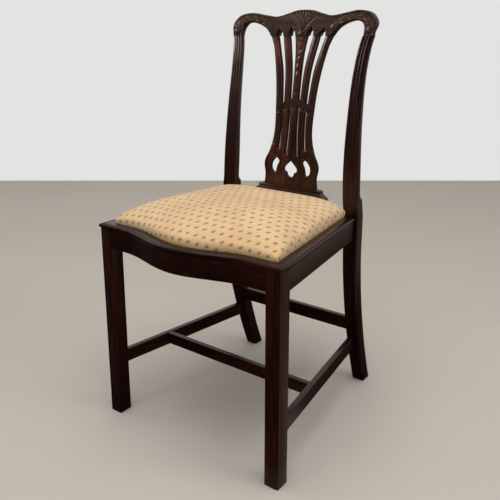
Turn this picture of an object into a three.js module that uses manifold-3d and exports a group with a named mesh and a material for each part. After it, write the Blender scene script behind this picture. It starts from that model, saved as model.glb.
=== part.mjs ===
// Mahogany side chair with a serpentine crest, a pierced vase splat and a drop in seat.
// Millimetres, +Z up, the chair facing -Y. Heights count from the floor. Depths count from the
// front face of the front legs, until the last lines centre the chair over its origin.
import * as THREE from 'three';
import { mergeVertices } from 'three/addons/utils/BufferGeometryUtils.js';
import Module from 'manifold-3d';

const wasm = await Module();
wasm.setup();

// Seat plan
const frontLegSpan = 487; // over the outer faces of the front legs
const backSpan = 400; // over the outer faces of the rear legs at the seat
const seatDepth = 383; // front of the front legs to the front of the rear legs
const legSquare = 33;
const seatHeight = 470; // top of the moulded lip

// Fits
const jointGap = 0.3; // between two pieces that meet
const overrun = 4; // how far a cutter passes what it cuts
const tenonShoulder = 8; // above and below a rail tenon
const tenonThickness = 8;
const tenonSetback = 9; // from a rail's outer face to its tenon
const crossTenonGap = 3; // left between two tenons in one leg
const frontTenonLength = 22;
const postTenonLength = 18;

// Seat rails
const railHeight = 53; // lip top to rail underside
const railThickness = 33;
const lipThickness = 8;
const lipInset = 25; // rail face to the inner edge of the lip
const lipOverhang = 3.5;
const lipBeadRadius = 3.6;
const lipQuirk = 1.3;
const lipEase = 0.8;
const rebateDepth = 14; // lip top down to the ledge that carries the seat
const serpentineRise = 34.5;
const serpentineHalfSpan = 170;
const rearRailThickness = 39;
const rearRailLedge = 9;
const rearRailTenonSetback = 1.5;

// Front legs
const cornerBeadRadius = 3.4;
const cornerQuirk = 1.4;
const cornerBeadTurnShares = [1.056, 2.444]; // where its round starts and ends, in half turns

// Rear legs, each in one piece with its back post
const rearLegWidthAtSeat = 34;
const rearLegWidthAtFloor = 31;
const rearLegInward = 10; // the foot stands this much further in than the seat
const rearLegSplay = 98; // the foot stands this much further back
const rearLegDepthAtSeat = 32;
const postLean = 48.5;
const postMould = 0.8;
const postShoulder = 35; // lip top to where the post turns from square to round backed
const postShoulderRun = 16;
const sideRailSetback = 6.5; // a side rail's face, inside the outer face of the post it meets
const splayPowerShare = 1.69;
const postLeanPowerShare = 2.3;
// Each entry is [share of the post's height above the seat, share of the size at the seat].
const postOuterShares = [
  [0, 1], [0.1, 0.98], [0.32, 0.9625], [0.56, 0.9425], [0.78, 0.935], [0.93, 0.95], [1, 0.973],
];
const postWidthShares = [[0, 1], [0.08, 1.06], [0.32, 1.03], [0.56, 0.9], [0.81, 0.81], [1, 0.75]];
const postDepthShares = [
  [0, 1], [0.09, 1], [0.12, 0.95], [0.32, 0.93], [0.56, 0.81], [0.81, 0.66], [1, 0.625],
];
const postFlankShares = [[0, 0.5], [0.32, 0.43], [0.81, 0.24], [1, 0.28]];
// Across the front of the post: [share of half the width, share of the mould's depth].
const postFaceShares = [[-1, 0], [-0.72, 1], [0, -1], [0.72, 1], [1, 0]];

// Crest rail
const crestSeat = 878; // the posts and the splat end here
const crestRise = 60.8;
const crestHalfSpan = 200;
const crestThickness = 20;
const crestProud = 2; // in front of the splat
const crestBow = 11.5; // the ends come forward by this much
const innerArchRise = 20.5;
const outerArchRise = 15.5;
const crestTenonWidth = 12;
const crestTenonThickness = 6;
const crestTenonLength = 18;
// Half of the top line: [share of the half span, share of the rise].
const crestTopShares = [
  [0, 1], [0.1, 0.98], [0.22, 0.87], [0.385, 0.76], [0.6, 0.86], [0.75, 0.93], [0.89, 0.85], [0.965, 0.66],
  [1, 0.42], [0.99, 0.15],
];
// The underside between splat and post: [share of the way across, share of the crest's rise].
const crestArchShares = [
  [0.0265, 0.0576], [0.093, 0.173], [0.2, 0.3125], [0.4065, 0.457], [0.61, 0.531], [0.768, 0.543],
  [0.907, 0.488], [0.973, 0.386], [0.998, 0.25],
];
// The cusped top of a slot: [share of the way across, share of the arch's rise].
const slotArchShares = [
  [0, 0], [0.06, 0.3], [0.2, 0.54], [0.44, 0.68], [0.59, 0.76], [0.68, 1], [0.79, 0.98], [0.85, 0.73],
  [0.94, 0.5], [1, 0],
];

// Splat
const splatHalfWidth = 77.2; // at the widest part of its vase
const splatThickness = 11;
const splatSetback = 18; // rear leg's front face to the splat's face at the shoe
const splatLean = 41.7;
const splatLeanPowerShare = 1.6;
const splatTenonThickness = 5;
const splatTenonLength = 7;
const splatTenonInset = 3;
const splatFootTenon = 25;
const splatFootInset = 7;
// The outer edge and the four edges of the ribs: [share of the splat's height, share of its half width].
const splatEdgeShares = [
  [0, 0.978], [0.0716, 0.948], [0.135, 1], [0.179, 0.952], [0.234, 0.821], [0.317, 0.706], [0.399, 0.667],
  [0.51, 0.6865], [0.647, 0.732], [0.785, 0.8225], [0.923, 0.965], [1, 1.118],
];
const centreRibShares = [
  [0, 0.14], [0.22, 0.14], [0.29, 0.122], [0.4, 0.095], [0.51, 0.095], [0.785, 0.097], [0.923, 0.135],
  [1, 0.214],
];
const innerRibInsideShares = [
  [0, 0.27], [0.22, 0.262], [0.29, 0.242], [0.4, 0.216], [0.51, 0.211], [0.647, 0.229], [0.785, 0.266],
  [0.923, 0.376], [1, 0.434],
];
const innerRibOutsideShares = [
  [0, 0.44], [0.22, 0.432], [0.29, 0.405], [0.4, 0.376], [0.51, 0.376], [0.647, 0.39], [0.785, 0.439],
  [0.923, 0.56], [1, 0.654],
];
const outerRibInsideShares = [
  [0, 0.57], [0.22, 0.56], [0.29, 0.528], [0.4, 0.492], [0.51, 0.496], [0.647, 0.539], [0.785, 0.618],
  [0.923, 0.789], [1, 0.874],
];
// Each pair of slots: [share of the splat's height at its low end, at its high end].
const innerLowSlotShares = [0.223, 0.537];
const innerHighSlotShares = [0.59, 1];
const outerLowSlotShares = [0.26, 0.507];
const outerHighSlotShares = [0.562, 1];
// Piercing in the middle of the vase, and the crescent on each side of it.
const piercingHalfWidth = 20;
const piercingHeight = 44;
const piercingRise = 22; // above the shoe
const piercingShares = [
  [0, 1], [0.15, 0.92], [0.5, 0.773], [0.85, 0.614], [1, 0.489], [0.975, 0.375], [0.825, 0.318],
  [0.625, 0.284], [0.575, 0.193], [0.425, 0.068], [0.2, 0.011], [0, 0],
];
const crescentInside = 32.5; // from the middle of the splat
const crescentWidth = 25.5;
const crescentHeight = 39.5;
const crescentRise = 29.5; // above the shoe
const crescentShares = [
  [0.06, 0.87], [0.31, 1], [0.53, 0.937], [0.765, 0.797], [0.94, 0.62], [1, 0.418], [0.96, 0.228],
  [0.8, 0.076], [0.59, 0], [0.39, 0.025], [0.333, 0.165], [0.275, 0.354], [0.157, 0.57], [0, 0.747],
];

// Shoe under the splat
const shoeHeight = 45;
const shoeSetback = 8; // rear leg's front face to the front of the shoe
const shoeDepth = 24;
const shoeHalfTop = 78;
const shoeHalfFoot = 106;
// End of the shoe: [share from the top's end to the foot's end, share of the height].
const shoeEndShares = [[0, 1], [0.36, 0.94], [0.57, 0.82], [0.75, 0.66], [0.93, 0.33], [1, 0]];
// Front moulding of the shoe: [share of the depth, share of the height].
const shoeFaceShares = [
  [0, 0], [0, 0.66], [0.06, 0.75], [0.2, 0.81], [0.25, 0.87], [0.23, 0.93], [0.29, 1], [1, 1], [1, 0],
];

// Stretchers
const stretcherThickness = 13.5;
const stretcherHeight = 32;
const stretcherRise = 115; // floor to the underside of the side stretchers
const stretcherInset = 3.5; // from the front leg's outer face
const stretcherBackInset = 11; // from the rear leg's outer face
const stretcherTenonThickness = 6;
const stretcherTenonShoulder = 6;
const stretcherTenonLength = 12;
const crossStretcherDepth = 166; // front of the front legs to its front face
const crossStretcherHeight = 28;
const crossTenonLength = 8;
const rearStretcherRise = 163.5;
const rearStretcherHeight = 33;
const rearStretcherSetback = 8; // behind the front faces of the rear legs

// Corner blocks and their screws
const blockAlongRail = 58;
const blockHeight = 22;
const blockDrop = 4; // ledge to the top of a block
const screwLength = 32;
const screwShank = 1.9;
const screwHead = 3.9;
const screwHeadHeight = 2.6;
const screwTip = 5;
const screwBite = 17; // how far a screw reaches into the rail
const screwGap = 0.25;
const screwPlaceShare = 0.5; // along the block
const screwSides = 10;

// Drop in seat
const seatClearance = 0.6; // cover to lip
const coverThickness = 1.2;
const seatFrameWidth = 44;
const seatFrameThickness = 19;
const seatTenonLength = 16;
const webbingWidth = 50;
const webbingThickness = 1.4;
const webbingCount = 3;
const webbingInset = 12; // strap end to the outer edge of the frame
const hessianThickness = 0.8;
const bottomClothThickness = 0.8;
const bottomClothInset = 3;
const cushionEdgeRise = 8; // lip top to where the cushion starts to swell in
const cushionCrown = 56; // lip top to the top of the cushion
const cushionSwell = 2; // how far the sides stand out over the lip
const cushionEdgePowerShare = 4.4;
const cushionSharpShare = 0.35;

// Counts of straight pieces in curved forms
const spanSteps = 3;
const railSteps = 32;
const slotSteps = 8;
const arcSteps = 6;
const backSteps = 8;
const crestColumns = 26;
const crestRows = 5;
const leanRows = 12;
const cushionColumns = 24;
const cushionRows = 22;

// Finishes
const mahogany = new THREE.MeshStandardMaterial({ color: 0x3a1b12, roughness: 0.33, metalness: 0 });
const beech = new THREE.MeshStandardMaterial({ color: 0xb98d5c, roughness: 0.65, metalness: 0 });
const steel = new THREE.MeshStandardMaterial({ color: 0x77746e, roughness: 0.45, metalness: 1 });
const webbing = new THREE.MeshStandardMaterial({ color: 0x9a7a55, roughness: 0.95, metalness: 0 });
const hessian = new THREE.MeshStandardMaterial({ color: 0xa88a5e, roughness: 0.95, metalness: 0 });
const damask = new THREE.MeshStandardMaterial({ color: 0xe3c193, roughness: 0.8, metalness: 0 });
const bottomCloth = new THREE.MeshStandardMaterial({ color: 0x2a2826, roughness: 0.95, metalness: 0 });

// Levels and places that several pieces share
const railTop = seatHeight - lipThickness;
const railLow = seatHeight - railHeight;
const ledge = seatHeight - rebateDepth;
const shoeTop = seatHeight + shoeHeight;
const splatHeight = crestSeat - shoeTop;
const frontOuter = frontLegSpan / 2;
const legInner = frontOuter - legSquare;
const rearRailFront = seatDepth - rearRailLedge;
const splatFootFront = seatDepth + splatSetback;
const shoeFront = seatDepth + shoeSetback;
const railTenonLow = railLow + tenonShoulder;
const railTenonHigh = ledge - tenonShoulder;
const stretcherTop = stretcherRise + stretcherHeight;
const sides = [['left', -1], ['right', 1]];

// Solids and meshes
function solid(geometry) {
  const bare = geometry.clone();
  bare.deleteAttribute('normal');
  bare.deleteAttribute('uv');
  const merged = mergeVertices(bare);
  const mesh = new wasm.Mesh({
    numProp: 3,
    vertProperties: new Float32Array(merged.attributes.position.array),
    triVerts: new Uint32Array(merged.index.array),
  });
  return new wasm.Manifold(mesh);
}

function piece(name, body, material) {
  const cut = body.getMesh();
  const geometry = new THREE.BufferGeometry();
  geometry.setAttribute('position', new THREE.BufferAttribute(cut.vertProperties, 3));
  geometry.setIndex(new THREE.BufferAttribute(cut.triVerts, 1));
  geometry.computeVertexNormals();
  const mesh = new THREE.Mesh(geometry, material);
  mesh.name = name;
  return mesh;
}

// An outline drawn from above, raised from one height to another.
function fromAbove(outline, low, high) {
  const shape = new THREE.Shape(outline.map(([x, y]) => new THREE.Vector2(x, y)));
  const geometry = new THREE.ExtrudeGeometry(shape, { depth: high - low, bevelEnabled: false });
  return solid(geometry.translate(0, 0, low));
}

// An outline drawn from the front as [x, z], taken from one depth to another.
function fromFront(outline, near, far) {
  const shape = new THREE.Shape(outline.map(([x, z]) => new THREE.Vector2(x, z)));
  const geometry = new THREE.ExtrudeGeometry(shape, { depth: far - near, bevelEnabled: false });
  return solid(geometry.rotateX(Math.PI / 2).translate(0, far, 0));
}

// An outline drawn from the side as [y, z], taken from one x to another.
function fromSide(outline, left, right) {
  const shape = new THREE.Shape(outline.map(([y, z]) => new THREE.Vector2(y, z)));
  const geometry = new THREE.ExtrudeGeometry(shape, { depth: right - left, bevelEnabled: false });
  const turn = new THREE.Matrix4().makeBasis(
    new THREE.Vector3(0, 1, 0), new THREE.Vector3(0, 0, 1), new THREE.Vector3(1, 0, 0),
  );
  return solid(geometry.applyMatrix4(turn).translate(left, 0, 0));
}

// A box between two values on each axis, in either order, larger by grow on every side.
function block([xa, xb], [ya, yb], [za, zb], grow = 0) {
  const size = [xb - xa, yb - ya, zb - za].map((length) => Math.abs(length) + 2 * grow);
  const middle = [(xa + xb) / 2, (ya + yb) / 2, (za + zb) / 2];
  return solid(new THREE.BoxGeometry(...size).translate(...middle));
}

// A closed solid through rings with equally many points. The contour shows how the ends close.
function skin(rings, contour) {
  const count = contour.length;
  const flat = contour.map(([a, b]) => new THREE.Vector2(a, b));
  const clockwise = THREE.ShapeUtils.isClockWise(flat);
  const faces = [];
  for (let ring = 0; ring + 1 < rings.length; ring += 1) {
    for (let i = 0; i < count; i += 1) {
      const a = ring * count + i;
      const b = ring * count + ((i + 1) % count);
      faces.push([a, b, b + count], [a, b + count, a + count]);
    }
  }
  const last = (rings.length - 1) * count;
  for (const [a, b, c] of THREE.ShapeUtils.triangulateShape(flat, [])) {
    const [p, q] = clockwise ? [c, b] : [b, c];
    faces.push([a, q, p], [last + a, last + p, last + q]);
  }
  return closed(rings.flat(), faces);
}

// A solid from points and faces, with the faces turned outwards.
function closed(points, faces) {
  const vectors = points.map((point) => new THREE.Vector3(...point));
  let volume = 0;
  for (const [a, b, c] of faces) {
    volume += vectors[a].dot(new THREE.Vector3().crossVectors(vectors[b], vectors[c]));
  }
  const outward = volume > 0 ? faces : faces.map(([a, b, c]) => [a, c, b]);
  const geometry = new THREE.BufferGeometry();
  geometry.setAttribute('position', new THREE.Float32BufferAttribute(points.flat(), 3));
  geometry.setIndex(outward.flat());
  return solid(geometry);
}

// A section drawn as [inset, height] that follows a line seen from above. Each station has its
// place and the way that one unit of inset moves it.
function sweep(stations, section) {
  const rings = stations.map(({ at: [x, y], inset: [dx, dy] }) => (
    section.map(([inset, z]) => [x + dx * inset, y + dy * inset, z])
  ));
  return skin(rings, section);
}

// Points on a smooth line through the given ones.
function smooth(points) {
  const curve = new THREE.SplineCurve(points.map(([a, b]) => new THREE.Vector2(a, b)));
  return curve.getPoints((points.length - 1) * spanSteps).map(({ x, y }) => [x, y]);
}

// A smooth function through a table of [share, value] pairs.
function follow(shares) {
  const line = smooth(shares);
  return (share) => {
    const next = Math.max(1, line.findIndex(([at]) => at >= share));
    const [[a, low], [b, high]] = [line[next - 1], line[next]];
    return low + ((high - low) * (share - a)) / (b - a);
  };
}

function mix(from, to, share) {
  return from + (to - from) * share;
}

function steps(from, to, count) {
  return Array.from({ length: count + 1 }, (_, i) => mix(from, to, i / count));
}

// Half an outline, drawn from the middle outwards, with its mirror image on the left.
function mirrored(half) {
  const left = half.map(([x, z]) => [-x, z]).reverse();
  return [...half, ...left].filter(([x, z], i, all) => {
    const [px, pz] = all[(i + all.length - 1) % all.length];
    return x !== px || z !== pz;
  });
}

// Seat plan: the outer face of a side rail at a depth, and the face of the front rail at an x
const sideSlope = (frontOuter - backSpan / 2 + sideRailSetback) / (seatDepth - legSquare);

function sideFace(y) {
  return frontOuter - sideSlope * Math.max(0, y - legSquare);
}

function frontFace(x) {
  const share = Math.min(1, Math.abs(x) / serpentineHalfSpan);
  return -serpentineRise * Math.cos((share * Math.PI) / 2) ** 2;
}

// Rear leg sizes at a height
const postOuterAt = follow(postOuterShares);
const postWidthAt = follow(postWidthShares);
const postDepthAt = follow(postDepthShares);
const postFlankAt = follow(postFlankShares);

function postShare(z) {
  return Math.min(1, Math.max(0, (z - seatHeight) / (crestSeat - seatHeight)));
}

function legShare(z) {
  return Math.min(1, Math.max(0, (railLow - z) / railLow));
}

function rearLegFront(z) {
  const splay = rearLegSplay * legShare(z) ** splayPowerShare;
  return seatDepth + splay + postLean * postShare(z) ** postLeanPowerShare;
}

function rearLegOuter(z) {
  return (backSpan / 2) * postOuterAt(postShare(z)) - rearLegInward * legShare(z);
}

function rearLegWidth(z) {
  return mix(rearLegWidthAtSeat, rearLegWidthAtFloor, legShare(z)) * postWidthAt(postShare(z));
}

function rearLegDepth(z) {
  return rearLegDepthAtSeat * postDepthAt(postShare(z));
}

function rearLegInner(z) {
  return rearLegOuter(z) - rearLegWidth(z);
}

// Front legs

function frontLegSection(side) {
  const centre = [frontOuter - cornerBeadRadius, cornerBeadRadius];
  const bead = steps(...cornerBeadTurnShares, arcSteps).map((turn) => [
    centre[0] + cornerBeadRadius * Math.cos(turn * Math.PI),
    centre[1] + cornerBeadRadius * Math.sin(turn * Math.PI),
  ]);
  const edge = 2 * cornerBeadRadius;
  const section = [
    [legInner, 0], [frontOuter - edge - cornerQuirk, 0], [frontOuter - edge - cornerQuirk / 2, cornerQuirk],
    ...bead,
    [frontOuter - cornerQuirk, edge + cornerQuirk / 2], [frontOuter, edge + cornerQuirk],
    [frontOuter, legSquare], [legInner, legSquare],
  ];
  return section.map(([x, y]) => [side * x, y]);
}

const frontRailTenonAt = [tenonSetback, tenonSetback + tenonThickness];
const sideTenonFront = frontRailTenonAt[1] + crossTenonGap;

function frontRailTenon(side, grow = 0) {
  const reach = [legInner - overrun, legInner + frontTenonLength].map((x) => side * x);
  return block(reach, frontRailTenonAt, [railTenonLow, railTenonHigh], grow);
}

function sideRailTenons(side, grow = 0) {
  const reaches = [[sideTenonFront, legSquare + overrun], [seatDepth - overrun, seatDepth + postTenonLength]];
  return reaches.map((reach) => {
    const face = sideFace(Math.max(...reach) > seatDepth ? seatDepth : legSquare);
    const across = [face - tenonSetback, face - tenonSetback - tenonThickness].map((x) => side * x);
    return block(across, reach, [railTenonLow, railTenonHigh], grow);
  });
}

function frontLeg(side) {
  const [sideTenon] = sideRailTenons(side, jointGap);
  const [stretcherTenon] = sideStretcherTenons(side, jointGap);
  const rebate = block(
    [side * (legInner - overrun), side * (frontOuter - lipInset)],
    [lipInset, legSquare + overrun],
    [ledge, seatHeight],
  );
  return fromAbove(frontLegSection(side), 0, railTop - jointGap)
    .subtract(rebate)
    .subtract(frontRailTenon(side, jointGap))
    .subtract(sideTenon)
    .subtract(stretcherTenon);
}

// Rear legs

function rearLegRing(z, side, grow) {
  const middle = rearLegOuter(z) - rearLegWidth(z) / 2;
  const half = rearLegWidth(z) / 2 + grow;
  const front = rearLegFront(z) - grow;
  const depth = rearLegDepth(z) + 2 * grow;
  const flank = depth * postFlankAt(postShare(z));
  const round = Math.min(1, Math.max(0, (z - seatHeight - postShoulder) / postShoulderRun));
  const face = postFaceShares.map(([across, sink]) => (
    [middle + half * across, front + postMould * sink * round]
  ));
  const back = steps(0, Math.PI, backSteps).map((angle) => {
    const [x, y] = [Math.cos(angle), Math.sin(angle)];
    const square = Math.max(Math.abs(x), Math.abs(y));
    return [
      middle + half * mix(x / square, x, round),
      front + flank + (depth - flank) * mix(y / square, y, round),
    ];
  });
  return [...face, ...back].map(([x, y]) => [side * x, y, z]);
}

function rearLegBody(side, grow = 0) {
  const shoulder = seatHeight + postShoulder;
  const heights = [
    ...steps(-grow, railLow, leanRows), seatHeight, shoulder, shoulder + postShoulderRun / 2,
    ...steps(shoulder + postShoulderRun, crestSeat - jointGap, leanRows + 2),
  ];
  const rings = heights.map((z) => rearLegRing(z, side, grow));
  return skin(rings, rings[0].map(([x, y]) => [x, y]));
}

function rearRailTenon(side, grow = 0) {
  const inner = rearLegInner(seatHeight);
  const back = rearRailFront + rearRailThickness - rearRailTenonSetback;
  const low = seatDepth + postTenonLength + crossTenonGap;
  const across = [inner - overrun, inner + postTenonLength].map((x) => side * x);
  return block(across, [low, back], [railTenonLow, railTenonHigh], grow);
}

function crestTenon(side, grow = 0) {
  const middle = side * (rearLegOuter(crestSeat) - rearLegWidth(crestSeat) / 2);
  const centre = rearLegFront(crestSeat) + rearLegDepth(crestSeat) / 2;
  return block(
    [middle - crestTenonWidth / 2, middle + crestTenonWidth / 2],
    [centre - crestTenonThickness / 2, centre + crestTenonThickness / 2],
    [crestSeat - overrun, crestSeat + crestTenonLength],
    grow,
  );
}

function rearLeg(side) {
  const [, sideTenon] = sideRailTenons(side, jointGap);
  const [, stretcherTenon] = sideStretcherTenons(side, jointGap);
  return rearLegBody(side)
    .add(crestTenon(side))
    .subtract(sideTenon)
    .subtract(stretcherTenon)
    .subtract(rearRailTenon(side, jointGap))
    .subtract(rearStretcherTenon(side, jointGap));
}

// Seat rails with the rebate that the seat drops into

const railSection = [
  [0, railLow], [railThickness, railLow], [railThickness, ledge], [lipInset, ledge],
  [lipInset, railTop - jointGap], [0, railTop - jointGap],
];

function frontStations(from, to) {
  return steps(from, to, railSteps).map((x) => ({ at: [x, frontFace(x)], inset: [0, 1] }));
}

function frontRail() {
  const reach = legInner - jointGap;
  return sweep(frontStations(-reach, reach), railSection)
    .subtract(sideRailBar(-1, jointGap))
    .subtract(sideRailBar(1, jointGap))
    .add(frontRailTenon(-1))
    .add(frontRailTenon(1));
}

function sideRailBar(side, grow = 0) {
  const stations = [legSquare + jointGap - grow, seatDepth - jointGap + grow].map((y) => (
    { at: [side * sideFace(y), y], inset: [-side, 0] }
  ));
  const section = railSection.map(([inset, z]) => [inset === railThickness ? inset + grow : inset, z]);
  return sweep(stations, section);
}

function sideRail(side) {
  const [frontTenon, backTenon] = sideRailTenons(side);
  return sideRailBar(side).add(frontTenon).add(backTenon);
}

function rearRail() {
  const section = [
    [0, railLow], [rearRailThickness, railLow], [rearRailThickness, seatHeight], [rearRailLedge, seatHeight],
    [rearRailLedge, ledge], [0, ledge],
  ];
  const reach = rearLegInner(seatHeight) - jointGap;
  const stations = [-reach, reach].map((x) => ({ at: [x, rearRailFront], inset: [0, 1] }));
  return sweep(stations, section)
    .subtract(sideRailBar(-1, jointGap))
    .subtract(sideRailBar(1, jointGap))
    .add(rearRailTenon(-1))
    .add(rearRailTenon(1));
}

// Moulded lip round the seat, mitred over the front legs

function lipSection() {
  const middle = seatHeight - lipThickness / 2;
  const centre = lipBeadRadius - lipOverhang;
  const bead = steps(Math.PI / 2, (3 * Math.PI) / 2, arcSteps).map((angle) => [
    centre + lipBeadRadius * Math.cos(angle), middle + (lipThickness / 2) * Math.sin(angle),
  ]);
  return [
    [lipInset, railTop], [lipInset, seatHeight - lipEase], [lipInset - lipEase, seatHeight],
    [centre + 2 * lipQuirk, seatHeight], [centre + lipQuirk, seatHeight - lipQuirk],
    ...bead,
  ];
}

function frontLip() {
  const corner = (side) => ({ at: [side * (frontOuter - jointGap / 2), 0], inset: [-side, 1] });
  const reach = frontOuter - lipInset - lipOverhang;
  return sweep([corner(-1), ...frontStations(-reach, reach), corner(1)], lipSection());
}

function sideLip(side) {
  const stations = [
    { at: [side * frontOuter, jointGap / 2], inset: [-side, 1] },
    { at: [side * frontOuter, legSquare], inset: [-side, 0] },
    { at: [side * sideFace(seatDepth), seatDepth - jointGap], inset: [-side, 0] },
  ];
  return sweep(stations, lipSection());
}

// Splat and shoe

function splatFront(z) {
  const share = Math.max(0, (z - shoeTop) / splatHeight);
  return splatFootFront + splatLean * share ** splatLeanPowerShare;
}

function splatPoints(shares) {
  return smooth(shares.map(([up, out]) => [shoeTop + splatHeight * up, splatHalfWidth * out]))
    .map(([z, x]) => [x, z]);
}

// Depths that clear the whole splat.
const splatReach = [splatFootFront - overrun, splatFootFront + splatLean + splatThickness + overrun];

// A slot between two rib edges, closed at both ends or open into the crest.
function splatSlot(insideShares, outsideShares, [low, high], side) {
  const inside = follow(insideShares);
  const outside = follow(outsideShares);
  const heights = steps(low, high, slotSteps);
  const place = (edge, share) => [side * splatHalfWidth * edge(share), shoeTop + splatHeight * share];
  const up = heights.map((share) => place(inside, share));
  const down = heights.map((share) => place(outside, share)).reverse();
  const open = high === 1 ? [up.at(-1), down[0]].map(([x]) => [x, crestSeat + overrun]) : [];
  return fromFront([...up, ...open, ...down], ...splatReach);
}

function splatRibs(share) {
  const edges = [
    centreRibShares, innerRibInsideShares, innerRibOutsideShares, outerRibInsideShares, splatEdgeShares,
  ];
  return edges.map((shares) => splatHalfWidth * follow(shares)(share));
}

function splatTenons(grow = 0) {
  const [centre, innerIn, innerOut, outerIn, outerOut] = splatRibs(1);
  const spans = [
    [-centre, centre], [innerIn, innerOut], [outerIn, outerOut], [-innerOut, -innerIn], [-outerOut, -outerIn],
  ];
  const middle = splatFront(crestSeat) + splatThickness / 2;
  return spans.map(([from, to]) => block(
    [from + splatTenonInset, to - splatTenonInset],
    [middle - splatTenonThickness / 2, middle + splatTenonThickness / 2],
    [crestSeat - overrun, crestSeat + splatTenonLength],
    grow,
  ));
}

function splatFootBlock(grow = 0) {
  const reach = splatHalfWidth - splatFootInset;
  const middle = splatFootFront + splatThickness / 2;
  return block(
    [-reach, reach],
    [middle - splatTenonThickness / 2, middle + splatTenonThickness / 2],
    [shoeTop - splatFootTenon, shoeTop + overrun],
    grow,
  );
}

function splat() {
  const heights = steps(shoeTop + jointGap, crestSeat - jointGap, leanRows);
  const near = heights.map((z) => [splatFront(z), z]);
  const far = heights.map((z) => [splatFront(z) + splatThickness, z]).reverse();
  const slab = fromSide([...near, ...far], -crestHalfSpan, crestHalfSpan);
  const edge = splatPoints(splatEdgeShares);
  const outline = fromFront(mirrored(edge), ...splatReach);
  let body = slab.intersect(outline);
  const slots = [
    [centreRibShares, innerRibInsideShares, innerLowSlotShares],
    [centreRibShares, innerRibInsideShares, innerHighSlotShares],
    [innerRibOutsideShares, outerRibInsideShares, outerLowSlotShares],
    [innerRibOutsideShares, outerRibInsideShares, outerHighSlotShares],
  ];
  const crescent = crescentShares.map(([out, up]) => (
    [crescentInside + crescentWidth * out, shoeTop + crescentRise + crescentHeight * up]
  ));
  for (const [, side] of sides) {
    for (const [inside, outside, reach] of slots) {
      body = body.subtract(splatSlot(inside, outside, reach, side));
    }
    const hole = crescent.map(([x, z]) => [side * x, z]);
    body = body.subtract(fromFront(hole, ...splatReach));
  }
  const piercing = piercingShares.map(([out, up]) => (
    [piercingHalfWidth * out, shoeTop + piercingRise + piercingHeight * up]
  ));
  body = body.subtract(fromFront(mirrored(piercing), ...splatReach));
  for (const tenon of splatTenons()) {
    body = body.add(tenon);
  }
  return body.add(splatFootBlock());
}

function shoe() {
  const low = seatHeight + jointGap;
  const height = shoeTop - low;
  const end = shoeEndShares.map(([out, up]) => [mix(shoeHalfTop, shoeHalfFoot, out), low + height * up]);
  const profile = shoeFaceShares.map(([back, up]) => [shoeFront + shoeDepth * back, low + height * up]);
  return fromFront(mirrored(end), shoeFront - overrun, shoeFront + shoeDepth + overrun)
    .intersect(fromSide(profile, -shoeHalfFoot - overrun, shoeHalfFoot + overrun))
    .subtract(splatFootBlock(jointGap));
}

// Crest rail

function crestFront(x, z) {
  return splatFront(z) - crestProud - crestBow * (x / crestHalfSpan) ** 2;
}

// The bowed and leaning slab that the crest is cut from.
function crestSlab() {
  const reach = crestHalfSpan + overrun;
  const columns = steps(-reach, reach, crestColumns);
  const heights = steps(crestSeat - overrun, crestSeat + crestRise + overrun, crestRows);
  const rings = columns.map((x) => [
    ...heights.map((z) => [x, crestFront(x, z), z]),
    ...heights.map((z) => [x, crestFront(x, z) + crestThickness, z]).reverse(),
  ]);
  return skin(rings, rings[0].map(([, y, z]) => [y, z]));
}

function crestOutline() {
  const low = crestSeat;
  const [centre, innerIn, innerOut, outerIn, outerOut] = splatRibs(1);
  const postInner = rearLegInner(crestSeat);
  const arch = (from, to, rise) => slotArchShares.map(([across, up]) => (
    [mix(from, to, across), low + rise * up]
  ));
  const under = crestArchShares.map(([across, up]) => (
    [mix(outerOut, postInner, across), low + crestRise * up]
  ));
  const top = crestTopShares.map(([out, up]) => [crestHalfSpan * out, low + crestRise * up]);
  return mirrored([
    ...arch(centre, innerIn, innerArchRise),
    ...arch(innerOut, outerIn, outerArchRise),
    ...smooth([[outerOut, low], ...under, [postInner, low]]),
    ...smooth([...top, [rearLegOuter(crestSeat), low]]).reverse(),
  ]);
}

function crestRail() {
  const near = crestFront(crestHalfSpan, crestSeat) - overrun;
  const far = crestFront(0, crestSeat + crestRise + overrun) + crestThickness + overrun;
  let body = crestSlab().intersect(fromFront(crestOutline(), near, far));
  for (const tenon of [crestTenon(-1, jointGap), crestTenon(1, jointGap), ...splatTenons(jointGap)]) {
    body = body.subtract(tenon);
  }
  return body;
}

// Stretchers

function stretcherSection(low, high, thickness, grow) {
  const [near, far] = [-grow, thickness + grow];
  return [[near, low - grow], [far, low - grow], [far, high + grow], [near, high + grow]];
}

// The outer face of a side stretcher at a depth, on a line from the front leg to the rear leg.
function stretcherFace(y) {
  const share = (y - legSquare) / (rearLegFront(stretcherRise) - legSquare);
  return mix(frontOuter - stretcherInset, rearLegOuter(stretcherRise) - stretcherBackInset, share);
}

function sideStretcherBar(side, grow = 0) {
  const far = rearLegFront(stretcherRise) + rearLegDepthAtSeat / 2;
  const stations = [legSquare + jointGap, far].map((y) => (
    { at: [side * stretcherFace(y), y], inset: [-side, 0] }
  ));
  return sweep(stations, stretcherSection(stretcherRise, stretcherTop, stretcherThickness, grow));
}

function sideStretcherTenons(side, grow = 0) {
  const heights = [stretcherRise + stretcherTenonShoulder, stretcherTop - stretcherTenonShoulder];
  const far = rearLegFront(stretcherRise);
  const reaches = [
    [legSquare - stretcherTenonLength, legSquare + overrun],
    [rearLegFront(stretcherTop) - overrun, far + stretcherTenonLength],
  ];
  return reaches.map((reach) => {
    const middle = stretcherFace((reach[0] + reach[1]) / 2) - stretcherThickness / 2;
    const across = [middle - stretcherTenonThickness / 2, middle + stretcherTenonThickness / 2];
    return block(across.map((x) => side * x), reach, heights, grow);
  });
}

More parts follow.
